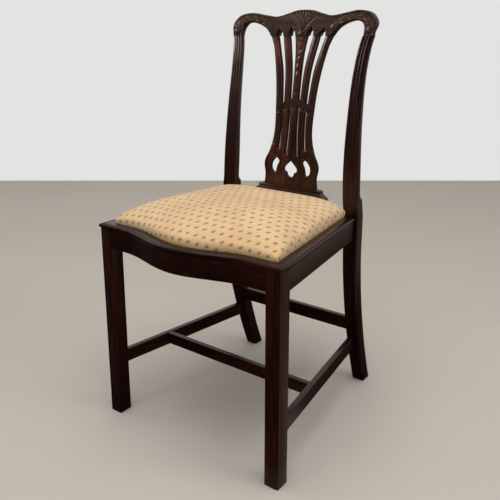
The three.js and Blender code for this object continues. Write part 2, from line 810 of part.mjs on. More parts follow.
function crossStretcherTenon(side, grow = 0) {
  const middle = crossStretcherDepth + stretcherThickness / 2;
  const inner = stretcherFace(middle) - stretcherThickness;
  return block(
    [inner - overrun, inner + crossTenonLength].map((x) => side * x),
    [middle - stretcherTenonThickness / 2, middle + stretcherTenonThickness / 2],
    [stretcherTop - crossStretcherHeight + stretcherTenonShoulder, stretcherTop - stretcherTenonShoulder],
    grow,
  );
}

function sideStretcher(side) {
  const [frontTenon, backTenon] = sideStretcherTenons(side);
  return sideStretcherBar(side)
    .subtract(rearLegBody(side, jointGap))
    .add(frontTenon)
    .add(backTenon)
    .subtract(crossStretcherTenon(side, jointGap));
}

function crossStretcher() {
  const low = stretcherTop - crossStretcherHeight;
  const back = crossStretcherDepth + stretcherThickness;
  const reach = stretcherFace(crossStretcherDepth);
  let body = block([-reach, reach], [crossStretcherDepth, back], [low, stretcherTop]);
  for (const [, side] of sides) {
    body = body.subtract(sideStretcherBar(side, jointGap)).subtract(beyondStretcher(side));
    body = body.add(crossStretcherTenon(side));
  }
  return body;
}

// Everything outside a side stretcher's middle line, to take off the ends of the cross stretcher.
function beyondStretcher(side) {
  const reach = [crossStretcherDepth - overrun, crossStretcherDepth + stretcherThickness + overrun];
  const corners = reach.map((y) => [side * (stretcherFace(y) - stretcherThickness / 2), y]);
  const outside = corners.map(([, y]) => [side * (frontOuter + overrun), y]).reverse();
  return fromAbove([...corners, ...outside], stretcherRise - overrun, stretcherTop + overrun);
}

function rearStretcherDepth() {
  return rearLegFront(rearStretcherRise + rearStretcherHeight) + rearStretcherSetback;
}

function rearStretcherTenon(side, grow = 0) {
  const high = rearStretcherRise + rearStretcherHeight;
  const middle = rearStretcherDepth() + stretcherThickness / 2;
  const inner = rearLegInner((rearStretcherRise + high) / 2);
  return block(
    [inner - overrun, inner + stretcherTenonLength].map((x) => side * x),
    [middle - stretcherTenonThickness / 2, middle + stretcherTenonThickness / 2],
    [rearStretcherRise + stretcherTenonShoulder, high - stretcherTenonShoulder],
    grow,
  );
}

function rearStretcher() {
  const high = rearStretcherRise + rearStretcherHeight;
  const reach = rearLegInner(rearStretcherRise) - jointGap;
  const near = rearStretcherDepth();
  let body = block([-reach, reach], [near, near + stretcherThickness], [rearStretcherRise, high]);
  for (const [, side] of sides) {
    body = body.subtract(rearLegBody(side, jointGap)).add(rearStretcherTenon(side));
  }
  return body;
}

// Corner blocks, each screwed to the two rails that it stiffens

// The inside corner of two rails, with the way that each rail leaves it, seen from above.
function cornerOf(end, side) {
  const y = end === 'front' ? railThickness + jointGap : rearRailFront - jointGap;
  const x = sideFace(y) - railThickness - jointGap;
  const turn = end === 'front' ? 1 : -1;
  return { x: side * x, y, inward: -side, along: turn, slope: -side * sideSlope * turn };
}

function cornerBlock(end, side) {
  const { x, y, inward, along, slope } = cornerOf(end, side);
  const onSide = [x + slope * blockAlongRail, y + along * blockAlongRail];
  const outline = [[x, y], [x + inward * blockAlongRail, y], onSide];
  const top = ledge - blockDrop;
  return fromAbove(outline, top - blockHeight, top);
}

// A screw drawn up its own axis, tip first, with room added all round for its hole.
function screwForm(room) {
  const profile = [
    [0, -room], [screwShank + room, screwTip], [screwShank + room, screwLength - screwHeadHeight - room],
    [screwHead + room, screwLength - screwHeadHeight - room], [screwHead + room, screwLength + room],
    [0, screwLength + room],
  ];
  return new THREE.LatheGeometry(profile.map(([r, z]) => new THREE.Vector2(r, z)), screwSides);
}

// Where the two screws of a corner block lie: tip place and heading, seen from above.
function screwPlaces(end, side) {
  const { x, y, inward, along, slope } = cornerOf(end, side);
  const half = blockAlongRail * screwPlaceShare;
  return [
    { tip: [x + inward * half, y - along * screwBite], heading: [0, along] },
    { tip: [x - inward * screwBite + slope * half, y + along * half], heading: [inward, 0] },
  ];
}

// A form drawn up its own axis, laid along a screw's place and moved on by a distance.
function alongScrew(form, { tip: [x, y], heading: [dx, dy] }, onward = 0) {
  const z = ledge - blockDrop - blockHeight / 2;
  const up = new THREE.Vector3(0, 1, 0);
  const turn = new THREE.Quaternion().setFromUnitVectors(up, new THREE.Vector3(dx, dy, 0));
  return solid(form.applyQuaternion(turn).translate(x + dx * onward, y + dy * onward, z));
}

// The screw's hole, carried on past its head so that the head can be driven in.
function screwHole(place) {
  const radius = screwHead + screwGap;
  const bore = new THREE.CylinderGeometry(radius, radius, blockAlongRail, screwSides);
  const onward = screwLength - screwHeadHeight + blockAlongRail / 2;
  return alongScrew(screwForm(screwGap), place).add(alongScrew(bore, place, onward));
}

// Drop in seat

const seatInset = lipInset + seatClearance;
const seatLow = ledge + jointGap;
const frameInset = seatInset + coverThickness + jointGap;
const frameLow = seatLow + coverThickness;
const frameHigh = frameLow + seatFrameThickness;
const webbingLow = frameHigh + jointGap;
const crossWebbingLow = webbingLow + webbingThickness + jointGap;
const hessianLow = crossWebbingLow + webbingThickness + jointGap;
const recessTop = hessianLow + hessianThickness + jointGap;

// Depth of the seat's front edge at an x, and x of its side at a depth, both for an inset.
function seatFrontEdge(x, inset) {
  return frontFace(x) + inset;
}

function seatBackEdge(inset) {
  return seatDepth - cushionSwell - (inset - lipInset);
}

function seatSideEdge(y, inset) {
  return sideFace(y) - inset;
}

function seatPlan(inset) {
  const back = seatBackEdge(inset);
  const start = Math.max(legSquare, inset);
  const corner = seatSideEdge(start, inset);
  const bend = start > inset ? [[corner, start]] : [];
  const front = steps(-corner, corner, railSteps).map((x) => [x, seatFrontEdge(x, inset)]);
  return [
    ...front, ...bend, [seatSideEdge(back, inset), back], [-seatSideEdge(back, inset), back],
    ...bend.map(([x, y]) => [-x, y]),
  ];
}

// The front or back rail of the seat's frame: the seat's outline, cut off between two depths.
function seatFrameRail(end, [from, to]) {
  return fromAbove(seatPlan(frameInset), frameLow, frameHigh)
    .subtract(block([-frontLegSpan, frontLegSpan], [from, to], [frameLow - overrun, frameHigh + overrun]))
    .subtract(seatTenon(end, -1, jointGap))
    .subtract(seatTenon(end, 1, jointGap));
}

function seatFrameFront() {
  return seatFrameRail('front', [frameInset + seatFrameWidth, seatDepth]);
}

function seatFrameBack() {
  return seatFrameRail('back', [-serpentineRise, seatBackEdge(frameInset) - seatFrameWidth]);
}

function seatTenon(end, side, grow = 0) {
  const isFront = end === 'front';
  const shoulder = isFront ? frameInset + seatFrameWidth : seatBackEdge(frameInset) - seatFrameWidth;
  const middle = side * (seatSideEdge(shoulder, frameInset) - seatFrameWidth / 2);
  const turn = isFront ? -1 : 1;
  const third = seatFrameThickness / 3;
  return block(
    [middle - seatFrameWidth / 4, middle + seatFrameWidth / 4],
    [shoulder - turn * overrun, shoulder + turn * seatTenonLength],
    [frameLow + third, frameHigh - third],
    grow,
  );
}

function seatFrameSide(side) {
  const near = frameInset + seatFrameWidth + jointGap;
  const far = seatBackEdge(frameInset) - seatFrameWidth - jointGap;
  const section = [[0, frameLow], [seatFrameWidth, frameLow], [seatFrameWidth, frameHigh], [0, frameHigh]];
  const stations = [near, far].map((y) => (
    { at: [side * seatSideEdge(y, frameInset), y], inset: [-side, 0] }
  ));
  return sweep(stations, section).add(seatTenon('front', side)).add(seatTenon('back', side));
}

function webbingAlong(index) {
  const share = (index + 1) / (webbingCount + 1);
  const back = seatBackEdge(frameInset) - webbingInset;
  const reach = seatSideEdge(back, frameInset + seatFrameWidth / 2);
  const middle = mix(-reach, reach, share);
  const front = frameInset + webbingInset;
  return block(
    [middle - webbingWidth / 2, middle + webbingWidth / 2],
    [front, back],
    [webbingLow, webbingLow + webbingThickness],
  );
}

function webbingAcross(index) {
  const share = (index + 1) / (webbingCount + 1);
  const middle = mix(frameInset, seatBackEdge(frameInset), share);
  const reach = seatSideEdge(middle + webbingWidth / 2, frameInset) - webbingInset;
  return block(
    [-reach, reach], [middle - webbingWidth / 2, middle + webbingWidth / 2],
    [crossWebbingLow, crossWebbingLow + webbingThickness],
  );
}

function hessianSheet() {
  return fromAbove(seatPlan(frameInset + webbingInset / 2), hessianLow, hessianLow + hessianThickness);
}

function bottomClothSheet() {
  const outline = seatPlan(railThickness + bottomClothInset);
  return fromAbove(outline, frameLow - jointGap - bottomClothThickness, frameLow - jointGap);
}

// The stuffed and covered top: a crown that falls steeply to sides drawn in at the rebate.
function cushion() {
  const edge = seatHeight + cushionEdgeRise;
  const place = (u, v, inset, z) => {
    const back = seatBackEdge(inset);
    const x = u * seatSideEdge(mix(inset, back, (v + 1) / 2), inset);
    return [x, mix(seatFrontEdge(x, inset), back, (v + 1) / 2), z];
  };
  const falling = (share) => (1 - Math.abs(share) ** cushionEdgePowerShare) ** cushionSharpShare;
  const top = (u, v) => edge + (cushionCrown - cushionEdgeRise) * falling(u) * falling(v);
  // Shares from -1 to 1 across the seat and from front to back, closer together near the edges.
  const spread = (count) => steps(-1, 1, count).map((share) => Math.sin((share * Math.PI) / 2));
  const columns = spread(cushionColumns);
  const rows = spread(cushionRows);
  const points = rows.flatMap((v) => columns.map((u) => place(u, v, seatInset - cushionSwell, top(u, v))));
  const at = (row, column) => row * columns.length + column;
  const faces = [];
  for (let row = 0; row < cushionRows; row += 1) {
    for (let column = 0; column < cushionColumns; column += 1) {
      const [a, b] = [at(row, column), at(row, column + 1)];
      const [c, d] = [at(row + 1, column + 1), at(row + 1, column)];
      faces.push([a, b, c], [a, c, d]);
    }
  }
  const rim = [
    ...columns.map((u, column) => [u, -1, at(0, column)]),
    ...rows.map((v, row) => [1, v, at(row, cushionColumns)]).slice(1),
    ...columns.map((u, column) => [u, 1, at(cushionRows, column)]).reverse().slice(1),
    ...rows.map((v, row) => [-1, v, at(row, 0)]).reverse().slice(1, -1),
  ];
  let above = rim.map(([, , index]) => index);
  for (const z of [seatHeight, seatLow]) {
    const first = points.length;
    points.push(...rim.map(([u, v]) => place(u, v, seatInset, z)));
    const ring = rim.map((_, i) => first + i);
    for (let i = 0; i < ring.length; i += 1) {
      const j = (i + 1) % ring.length;
      faces.push([above[j], above[i], ring[i]], [above[j], ring[i], ring[j]]);
    }
    above = ring;
  }
  const flat = above.map((index) => new THREE.Vector2(points[index][0], points[index][1]));
  for (const [a, b, c] of THREE.ShapeUtils.triangulateShape(flat, [])) {
    faces.push([above[a], above[c], above[b]]);
  }
  const recess = fromAbove(seatPlan(seatInset + coverThickness), seatLow - overrun, recessTop);
  return closed(points, faces).subtract(recess);
}

// Assembly

const chair = new THREE.Group();
const frame = new THREE.Group();
const seat = new THREE.Group();
chair.add(frame, seat);

const blocks = new Map();
const holes = { front: [], back: [], left: [], right: [] };
for (const end of ['front', 'back']) {
  for (const [sideName, side] of sides) {
    const places = screwPlaces(end, side);
    let body = cornerBlock(end, side);
    places.forEach((place, i) => {
      const hole = screwHole(place);
      body = body.subtract(hole);
      holes[i === 0 ? end : sideName].push(hole);
      frame.add(piece(`block_screw_${end}_${sideName}_${i + 1}`, alongScrew(screwForm(0), place), steel));
    });
    blocks.set(`corner_block_${end}_${sideName}`, body);
  }
}
for (const [name, body] of blocks) {
  frame.add(piece(name, body, beech));
}

function drilled(body, list) {
  return list.reduce((left, hole) => left.subtract(hole), body);
}

for (const [name, side] of sides) {
  frame.add(piece(`front_leg_${name}`, frontLeg(side), mahogany));
  frame.add(piece(`rear_leg_${name}`, rearLeg(side), mahogany));
  frame.add(piece(`side_rail_${name}`, drilled(sideRail(side), holes[name]), mahogany));
  frame.add(piece(`side_lip_${name}`, sideLip(side), mahogany));
  frame.add(piece(`side_stretcher_${name}`, sideStretcher(side), mahogany));
  seat.add(piece(`seat_frame_${name}`, seatFrameSide(side), beech));
}
frame.add(piece('front_rail', drilled(frontRail(), holes.front), mahogany));
frame.add(piece('front_lip', frontLip(), mahogany));
frame.add(piece('rear_rail', drilled(rearRail(), holes.back), mahogany));
frame.add(piece('shoe', shoe(), mahogany));
frame.add(piece('splat', splat(), mahogany));
frame.add(piece('crest_rail', crestRail(), mahogany));
frame.add(piece('cross_stretcher', crossStretcher(), mahogany));
frame.add(piece('rear_stretcher', rearStretcher(), mahogany));

seat.add(piece('seat_frame_front', seatFrameFront(), beech));
seat.add(piece('seat_frame_back', seatFrameBack(), beech));
for (let index = 0; index < webbingCount; index += 1) {
  seat.add(piece(`webbing_along_${index + 1}`, webbingAlong(index), webbing));
  seat.add(piece(`webbing_across_${index + 1}`, webbingAcross(index), webbing));
}
seat.add(piece('hessian', hessianSheet(), hessian));
seat.add(piece('seat_bottom_cloth', bottomClothSheet(), bottomCloth));
seat.add(piece('seat_cushion', cushion(), damask));

// The chair stands over the middle of its own outline.
const foremost = -serpentineRise - lipOverhang;
const rearmost = rearLegFront(0) + rearLegDepthAtSeat;
chair.position.y = -(foremost + rearmost) / 2;

export default chair;
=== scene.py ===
import math

import bpy
import numpy as np
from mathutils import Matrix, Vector, bvhtree, geometry


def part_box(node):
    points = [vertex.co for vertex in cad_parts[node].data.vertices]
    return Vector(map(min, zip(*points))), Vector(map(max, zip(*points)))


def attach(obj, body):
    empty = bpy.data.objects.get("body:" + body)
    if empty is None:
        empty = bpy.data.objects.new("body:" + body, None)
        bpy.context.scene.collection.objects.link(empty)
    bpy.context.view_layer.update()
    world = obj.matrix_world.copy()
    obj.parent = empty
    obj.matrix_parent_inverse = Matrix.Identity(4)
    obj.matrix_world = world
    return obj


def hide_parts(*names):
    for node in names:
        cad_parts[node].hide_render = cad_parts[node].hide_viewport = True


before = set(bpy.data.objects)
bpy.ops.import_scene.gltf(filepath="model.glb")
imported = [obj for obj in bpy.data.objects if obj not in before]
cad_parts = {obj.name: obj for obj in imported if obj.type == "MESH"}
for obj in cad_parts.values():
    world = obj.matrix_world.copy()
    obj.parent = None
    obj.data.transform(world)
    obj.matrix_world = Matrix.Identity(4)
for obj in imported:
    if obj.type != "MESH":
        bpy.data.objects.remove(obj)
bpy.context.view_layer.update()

# A mahogany side chair. Sizes are millimetres, heights count from the floor and depths from the
# front face of the front legs. DEPTH_SHIFT moves those depths to the frame's origin.
DEPTH_SHIFT = -237.5

SEAT, RAIL_LOW, RAIL_TOP, LEDGE = 470.0, 417.0, 462.0, 456.0
FRONT_OUTER, BACK_OUTER, LEG = 243.5, 200.0, 33.0
SEAT_DEPTH, SIDE_SETBACK, FRONT_SWELL = 383.0, 6.5, 34.5
GAP, JOINT = 0.3, 0.05
LIP_INSET, LIP_OVERHANG, LIP_BEAD, LIP_QUIRK = 25.0, 2.3, 2.7, 2.2
CREST_LOW, CREST_RISE, CREST_HALF = 878.0, 60.8, 200.0
CREST_THICK, CREST_PROUD, CREST_BOW = 20.0, 2.0, 11.5
SHOE_TOP, SHOE_FRONT, SHOE_DEPTH, SHOE_HALF, SHOE_FLARE = 515.0, 391.0, 24.0, 78.0, 28.0
SPLAT_HALF, SPLAT_THICK, SPLAT_FOOT, SPLAT_LEAN = 77.2, 11.0, 401.0, 41.7
SPLAT_RISE = CREST_LOW - SHOE_TOP
STRETCHER, STRETCHER_LOW, STRETCHER_TOP = 13.5, 115.0, 147.0
CROSS_DEPTH, CROSS_HEIGHT = 166.0, 28.0
REAR_STRETCHER_LOW, REAR_STRETCHER_TOP = 163.5, 196.5
CUSHION_EDGE, CUSHION_TOP, CUSHION_SWELL = 8.0, 56.0, 2.0
SEAT_INSET = LIP_INSET + 0.6
SEAT_LOW, RECESS_TOP = LEDGE + GAP, 481.3


# Numbers, curves and outlines

def unit(value):
    """A value kept between 0 and 1."""
    return np.clip(value, 0, 1)


def softened(share):
    """A share of 0 to 1 with a soft start and end."""
    return share * share * (3 - 2 * share)


def peak(value, width):
    """A bell that is 1 where the value is 0."""
    return np.exp(-(value / width) ** 2)


def bump(value, low, high, soft):
    """1 between two limits and 0 outside them, with soft sides."""
    return softened(unit((value - low) / soft + 0.5)) * softened(unit((high - value) / soft + 0.5))


def columns(*values):
    """Values side by side as the columns of a table; one number fills its column."""
    return np.column_stack([np.ravel(v) for v in np.broadcast_arrays(*values)])


def smooth(points, count=6):
    """Points on a smooth line through the given ones."""
    p = np.asarray(points, float)
    p = np.vstack([p[:1], p, p[-1:]])
    t = np.linspace(0, 1, count, endpoint=False)[:, None]
    out = []
    for a, b, c, d in zip(p[:-3], p[1:-2], p[2:-1], p[3:]):
        out.append(0.5 * (2 * b + (c - a) * t + (2 * a - 5 * b + 4 * c - d) * t ** 2
                          + (3 * b - a - 3 * c + d) * t ** 3))
    return np.vstack(out + [p[-1:]])


def follow(shares):
    """A smooth function through a table of [share, value] pairs."""
    line = smooth(shares)
    return lambda share: np.interp(share, line[:, 0], line[:, 1])


def lengths(line):
    """The length of a line up to each of its points."""
    return np.append(0, np.cumsum(np.hypot(*np.diff(line, axis=0).T)))


def mirrored(half):
    """Half an outline, from the middle outwards, with its mirror image."""
    half = np.asarray(half, float)
    whole = np.vstack([half, (half * [-1, 1])[::-1]])
    return whole[np.hypot(*(whole - np.roll(whole, 1, axis=0)).T) > 1e-6]


def resampled(loop, step, corner=28):
    """A closed outline with evenly spaced points that keeps its corners."""
    ahead = np.roll(loop, -1, axis=0) - loop
    heading = np.arctan2(ahead[:, 1], ahead[:, 0])
    turn = np.degrees(np.abs(np.angle(np.exp(1j * (heading - np.roll(heading, 1))))))
    keys = np.flatnonzero(turn > corner)
    if len(keys) == 0:
        keys = np.array([0])
    out = []
    for start, end in zip(keys, np.append(keys[1:], keys[0] + len(loop))):
        run = loop[np.arange(start, end + 1) % len(loop)]
        length = lengths(run)
        at = np.linspace(0, length[-1], max(2, int(round(length[-1] / step)) + 1))[:-1]
        out.append(columns(*(np.interp(at, length, values) for values in run.T)))
    return np.vstack(out)


def in_chunks(work, points, size=4000):
    """What a function gives for many points, worked out some thousands at a time."""
    return np.concatenate([work(points[i:i + size]) for i in range(0, len(points), size)])


def distance(points, loop, levels=()):
    """Distance from points to a closed outline, leaving out its runs along the given levels."""
    a, b = loop, np.roll(loop, -1, axis=0)
    for level in levels:
        free = (np.abs(a[:, 1] - level) > 0.2) | (np.abs(b[:, 1] - level) > 0.2)
        a, b = a[free], b[free]
    d = b - a

    def nearest(p):
        p = p[:, None, :]
        t = unit(((p - a) * d).sum(2) / np.maximum((d * d).sum(1), 1e-12))
        return np.sqrt((((a + d * t[..., None]) - p) ** 2).sum(2).min(1))

    return in_chunks(nearest, points)


def inside(points, loops):
    """Which points lie inside an odd number of closed outlines."""
    def odd(p):
        x, y = p[:, :1], p[:, 1:]
        crossed = np.zeros(len(p), int)
        for a in loops:
            b = np.roll(a, -1, axis=0)
            rise = np.where(np.abs(b[:, 1] - a[:, 1]) < 1e-12, 1e-12, b[:, 1] - a[:, 1])
            left = x < (b[:, 0] - a[:, 0]) * (y - a[:, 1]) / rise + a[:, 0]
            crossed += (((a[:, 1] > y) != (b[:, 1] > y)) & left).sum(1)
        return crossed % 2 == 1

    return in_chunks(odd, points)


def eased(section, radius, count=4):
    """A section with its convex corners rounded."""
    p = np.asarray(section, float)
    area = 0.5 * np.sum(p[:, 0] * np.roll(p[:, 1], -1) - np.roll(p[:, 0], -1) * p[:, 1])
    out = []
    for i, here in enumerate(p):
        a, b = p[i - 1] - here, p[(i + 1) % len(p)] - here
        la, lb = np.hypot(*a), np.hypot(*b)
        a, b = a / la, b / lb
        if (a[1] * b[0] - a[0] * b[1]) * area < 0.3 * abs(area):
            out.append(here)
            continue
        cut = min(radius, la * 0.45, lb * 0.45)
        out += [here + a * cut * (1 - t) ** 2 + b * cut * t ** 2 for t in np.linspace(0, 1, count + 1)]
    return np.array(out)


# Meshes

def in_frame(points):
    """Points in millimetres as places in the frame."""
    return (np.asarray(points, float) + [0, DEPTH_SHIFT, 0]) / 1000


def add_mesh(name, shape, material, node, body="frame", slot="mahogany", angle=38):
    """A piece in place of one node, from points in millimetres and faces. It is turned outwards and
    shaded smooth but for its sharp edges."""
    points, faces = shape
    mesh = bpy.data.meshes.new(name)
    placed = in_frame(points)
    mesh.from_pydata(placed.tolist(), [], [list(map(int, f)) for f in faces])
    mesh.validate()
    volume = sum(
        placed[f[0]] @ np.cross(placed[f[i]], placed[f[i + 1]]) for f in faces for i in range(1, len(f) - 1))
    if volume < 0:
        mesh.flip_normals()
    mesh.shade_smooth()
    mesh.set_sharp_from_angle(angle=math.radians(angle))
    mesh.materials.append(material)
    piece = bpy.data.objects.new(name, mesh)
    bpy.context.scene.collection.objects.link(piece)
    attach(piece, body)
    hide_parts(node)
    return piece


def attribute(piece, name, values, kind="FLOAT", field="value"):
    """Gives each point of a piece a value that its material reads."""
    data = piece.data.attributes.new(name, kind, "POINT").data
    data.foreach_set(field, np.asarray(values, np.float32).ravel())


def loft(rings):
    """Points and faces of a closed solid through rings with equally many points."""
    count = len(rings[0])
    faces = []
    for ring in range(len(rings) - 1):
        for i in range(count):
            a, b = ring * count + i, ring * count + (i + 1) % count
            faces.append((a, b, b + count, a + count))
    last = (len(rings) - 1) * count
    faces += [tuple(range(count - 1, -1, -1)), tuple(range(last, last + count))]
    return np.vstack(rings), faces


def joined(*parts):
    """Several sets of points and faces as one."""
    points, faces, start = [], [], 0
    for more, its_faces in parts:
        points.append(more)
        faces += [tuple(i + start for i in face) for face in its_faces]
        start += len(more)
    return np.vstack(points), faces


def sweep(stations, section):
    """A section drawn as [inset, height] along stations of a place and the way of one unit of inset."""
    inset, height = np.asarray(section, float).T
    return loft([columns(x + dx * inset, y + dy * inset, height) for (x, y), (dx, dy) in stations])


def grid_faces(rows, wide):
    """The faces and the rim of a grid of points, rows by wide steps large."""
    m = wide + 1
    faces = [(i * m + j, i * m + j + 1, (i + 1) * m + j + 1, (i + 1) * m + j)
             for i in range(rows) for j in range(wide)]
    rim = [*range(m), *(i * m + wide for i in range(1, rows + 1)),
           *(rows * m + j for j in range(wide - 1, -1, -1)), *(i * m for i in range(rows - 1, 0, -1))]
    return faces, rim


def between(first, second):
    """Faces between two rings of points."""
    after_first, after_second = [*first[1:], first[0]], [*second[1:], second[0]]
    return [(a, b, d, c) for a, b, c, d in zip(first, second, after_first, after_second)]


def slab(x, y, high, low):
    """A closed solid between two heights over a square grid of places."""
    total = x.size
    grid, rim = grid_faces(len(x) - 1, len(x) - 1)
    faces = []
    for a, b, c, d in grid:
        faces += [(a, b, c, d), (a + total, d + total, c + total, b + total)]
    faces += between(rim, [i + total for i in rim])
    return np.vstack([columns(x, y, high), columns(x, y, low)]), faces


# Node materials

class Value:
    """An output of a node that can be reckoned with."""

    def __init__(self, nodes, socket):
        self.nodes, self.socket = nodes, socket

    def __add__(self, other):
        return self.nodes.math("ADD", self, other)

    def __sub__(self, other):
        return self.nodes.math("SUBTRACT", self, other)

    def __mul__(self, other):
        return self.nodes.math("MULTIPLY", self, other)

    def __truediv__(self, other):
        return self.nodes.math("DIVIDE", self, other)


class Nodes:
    """A small helper that adds and links the nodes of one material or world."""

    def __init__(self, owner):
        owner.use_nodes = True
        self.owner, self.tree = owner, owner.node_tree

    def put(self, kind, inputs=None, output=0, **settings):
        node = self.tree.nodes.new(kind)
        for key, value in settings.items():
            setattr(node, key, value)
        self.feed(node, inputs or {})
        return Value(self, node.outputs[output])

    def feed(self, node, inputs):
        for key, value in inputs.items():
            if isinstance(value, Value):
                self.tree.links.new(value.socket, node.inputs[key])
            else:
                node.inputs[key].default_value = value

    def shader(self, inputs):
        """Sets the main shader and gives the finished material."""
        self.feed(self.tree.nodes["Principled BSDF"], inputs)
        return self.owner

    def place(self):
        return self.put("ShaderNodeTexCoord", output="Object")

    def axes(self, vector):
        split = self.put("ShaderNodeSeparateXYZ", {0: vector}).socket.node
        return [Value(self, socket) for socket in split.outputs[:2]]

    def given(self, name, output="Fac"):
        return self.put("ShaderNodeAttribute", output=output, attribute_name=name)

    def ray(self, *kinds):
        """1 for light paths of any of the given kinds."""
        light = self.put("ShaderNodeLightPath").socket.node
        seen = Value(self, light.outputs[f"Is {kinds[0]} Ray"])
        for kind in kinds[1:]:
            seen = self.math("MAXIMUM", seen, Value(self, light.outputs[f"Is {kind} Ray"]))
        return seen

    def math(self, operation, a, b=0.0, clamp=False):
        return self.put("ShaderNodeMath", {0: a, 1: b}, operation=operation, use_clamp=clamp)

    def range(self, value, low, high, to_low=0.0, to_high=1.0):
        return self.put("ShaderNodeMapRange", {
            "Value": value, "From Min": low, "From Max": high, "To Min": to_low, "To Max": to_high,
        }, interpolation_type="SMOOTHSTEP")

    def mix(self, share, a, b):
        return self.put("ShaderNodeMix", {0: share, 6: a, 7: b}, 2, data_type="RGBA")

    def noise(self, vector, scale, detail=3.0, roughness=0.5, distortion=0.0):
        return self.put("ShaderNodeTexNoise", {
            "Vector": vector, "Scale": scale, "Detail": detail, "Roughness": roughness,
            "Distortion": distortion})

    def scaled(self, vector, scale, offset=(0.0, 0.0, 0.0)):
        return self.put("ShaderNodeMapping", {"Vector": vector, "Scale": scale, "Location": offset})

    def bump(self, height, strength, distance):
        return self.put("ShaderNodeBump", {"Height": height, "Strength": strength, "Distance": distance})

    def yarns(self, x, y, pitch):
        """Waves of the warp and the weft, with the pitch in millimetres."""
        turn = 2 * math.pi * 1000 / pitch
        return self.math("SINE", x * turn), self.math("SINE", y * turn)


def new_nodes(name):
    return Nodes(bpy.data.materials.new(name))


def colour(red, green, blue):
    """A colour that is written as it looks on the screen, 0 to 255."""
    levels = [v / 255 for v in (red, green, blue)]
    return (*[v / 12.92 if v <= 0.04045 else ((v + 0.055) / 1.055) ** 2.4 for v in levels], 1.0)


GRAIN = {"x": (0.07, 1.0, 1.0), "y": (1.0, 0.07, 1.0), "z": (1.0, 1.0, 0.07)}
# A light tan for rubbed wear and painted highlights, and a near black for painted shade in cuts, quirks and
# the walls of holes
WEAR_AND_HIGHLIGHT_TAN, PAINTED_SHADE = colour(176, 148, 122), colour(12, 6, 4)


def mahogany(name, grain, dark, middle, light, seed):
    """French polished mahogany: ribbon figure, fine open pores, rubbed edges with painted highlights, and
    painted shade in the carving.
    """
    n = new_nodes(name)
    place = n.place()
    along = n.scaled(place, GRAIN[grain], (seed, seed * 1.7, seed * 0.6))
    broad = n.noise(along, 26.0, 3.0, 0.55, 0.6)
    figure = n.noise(along, 120.0, 4.0, 0.6, 0.4)
    fine = n.scaled(place, tuple(v ** 1.45 for v in GRAIN[grain]), (seed, seed, seed))
    pores = n.range(n.noise(fine, 1500.0, 2.0, 0.6), 0.60, 0.70)
    wear_and_highlight, held = n.given("high"), n.given("held")
    tone = broad * 0.55 + figure * 0.45
    base = n.mix(n.range(tone, 0.36, 0.52), dark, middle)
    base = n.mix(n.range(tone, 0.50, 0.66), base, light)
    base = n.mix(pores * 0.55, base, dark)
    # Lighter where the carving is rubbed, and lighter still at painted highlights
    base = n.mix(n.math("MULTIPLY", wear_and_highlight, 0.6, clamp=True), base, light)
    base = n.mix(n.range(wear_and_highlight, 0.75, 1.35, 0.0, 0.92), base, WEAR_AND_HIGHLIGHT_TAN)
    # Painted shade: near black where held is large
    base = n.mix(n.math("MULTIPLY", held, 0.85, clamp=True), base, PAINTED_SHADE)
    rough = n.range(broad, 0.3, 0.7, 0.30, 0.42) + pores * 0.12
    # The painted shade is also rougher and has no coat
    return n.shader({
        "Base Color": base,
        "Roughness": n.math("ADD", rough, held * 0.25, clamp=True),
        "Normal": n.bump(figure * 0.25 - pores * 0.5, 0.35, 0.00012),
        "Specular IOR Level": 0.26,
        "Specular Tint": (1.0, 0.62, 0.5, 1.0),
        "Coat Weight": n.range(held, 0.1, 0.9, 0.26, 0.0),
        "Coat Roughness": 0.12})


def beech_wood(name, grain):
    """Bare planed beech with short dark flecks."""
    n = new_nodes(name)
    place = n.place()
    broad = n.noise(n.scaled(place, GRAIN[grain]), 40.0, 3.0, 0.5, 0.3)
    base = n.mix(n.range(broad, 0.35, 0.68), colour(150, 112, 70), colour(196, 158, 112))
    fleck = n.range(n.noise(n.scaled(place, tuple(v ** 0.7 for v in GRAIN[grain])), 620.0, 1.0), 0.62, 0.70)
    return n.shader({
        "Base Color": n.mix(fleck * 0.6, base, colour(112, 74, 42)),
        "Roughness": 0.62,
        "Normal": n.bump(broad, 0.4, 0.0002)})


def plain_weave(name, first, second, pitch):
    """A plain weave of two yarns, with the given distance between yarns in millimetres."""
    n = new_nodes(name)
    place = n.place()
    warp, weft = n.yarns(*n.axes(place), pitch)
    slub = n.noise(n.scaled(place, (1.0, 0.15, 1.0)), 300.0)
    tone = n.range(warp * weft, -0.6, 0.6, 0.0, 0.7) + slub * 0.5
    return n.shader({
        "Base Color": n.mix(n.range(tone, 0.2, 1.0), first, second),
        "Roughness": 0.9,
        "Normal": n.bump(n.math("ABSOLUTE", warp) + n.math("ABSOLUTE", weft), 0.6, pitch / 5000),
        "Sheen Weight": 0.2})


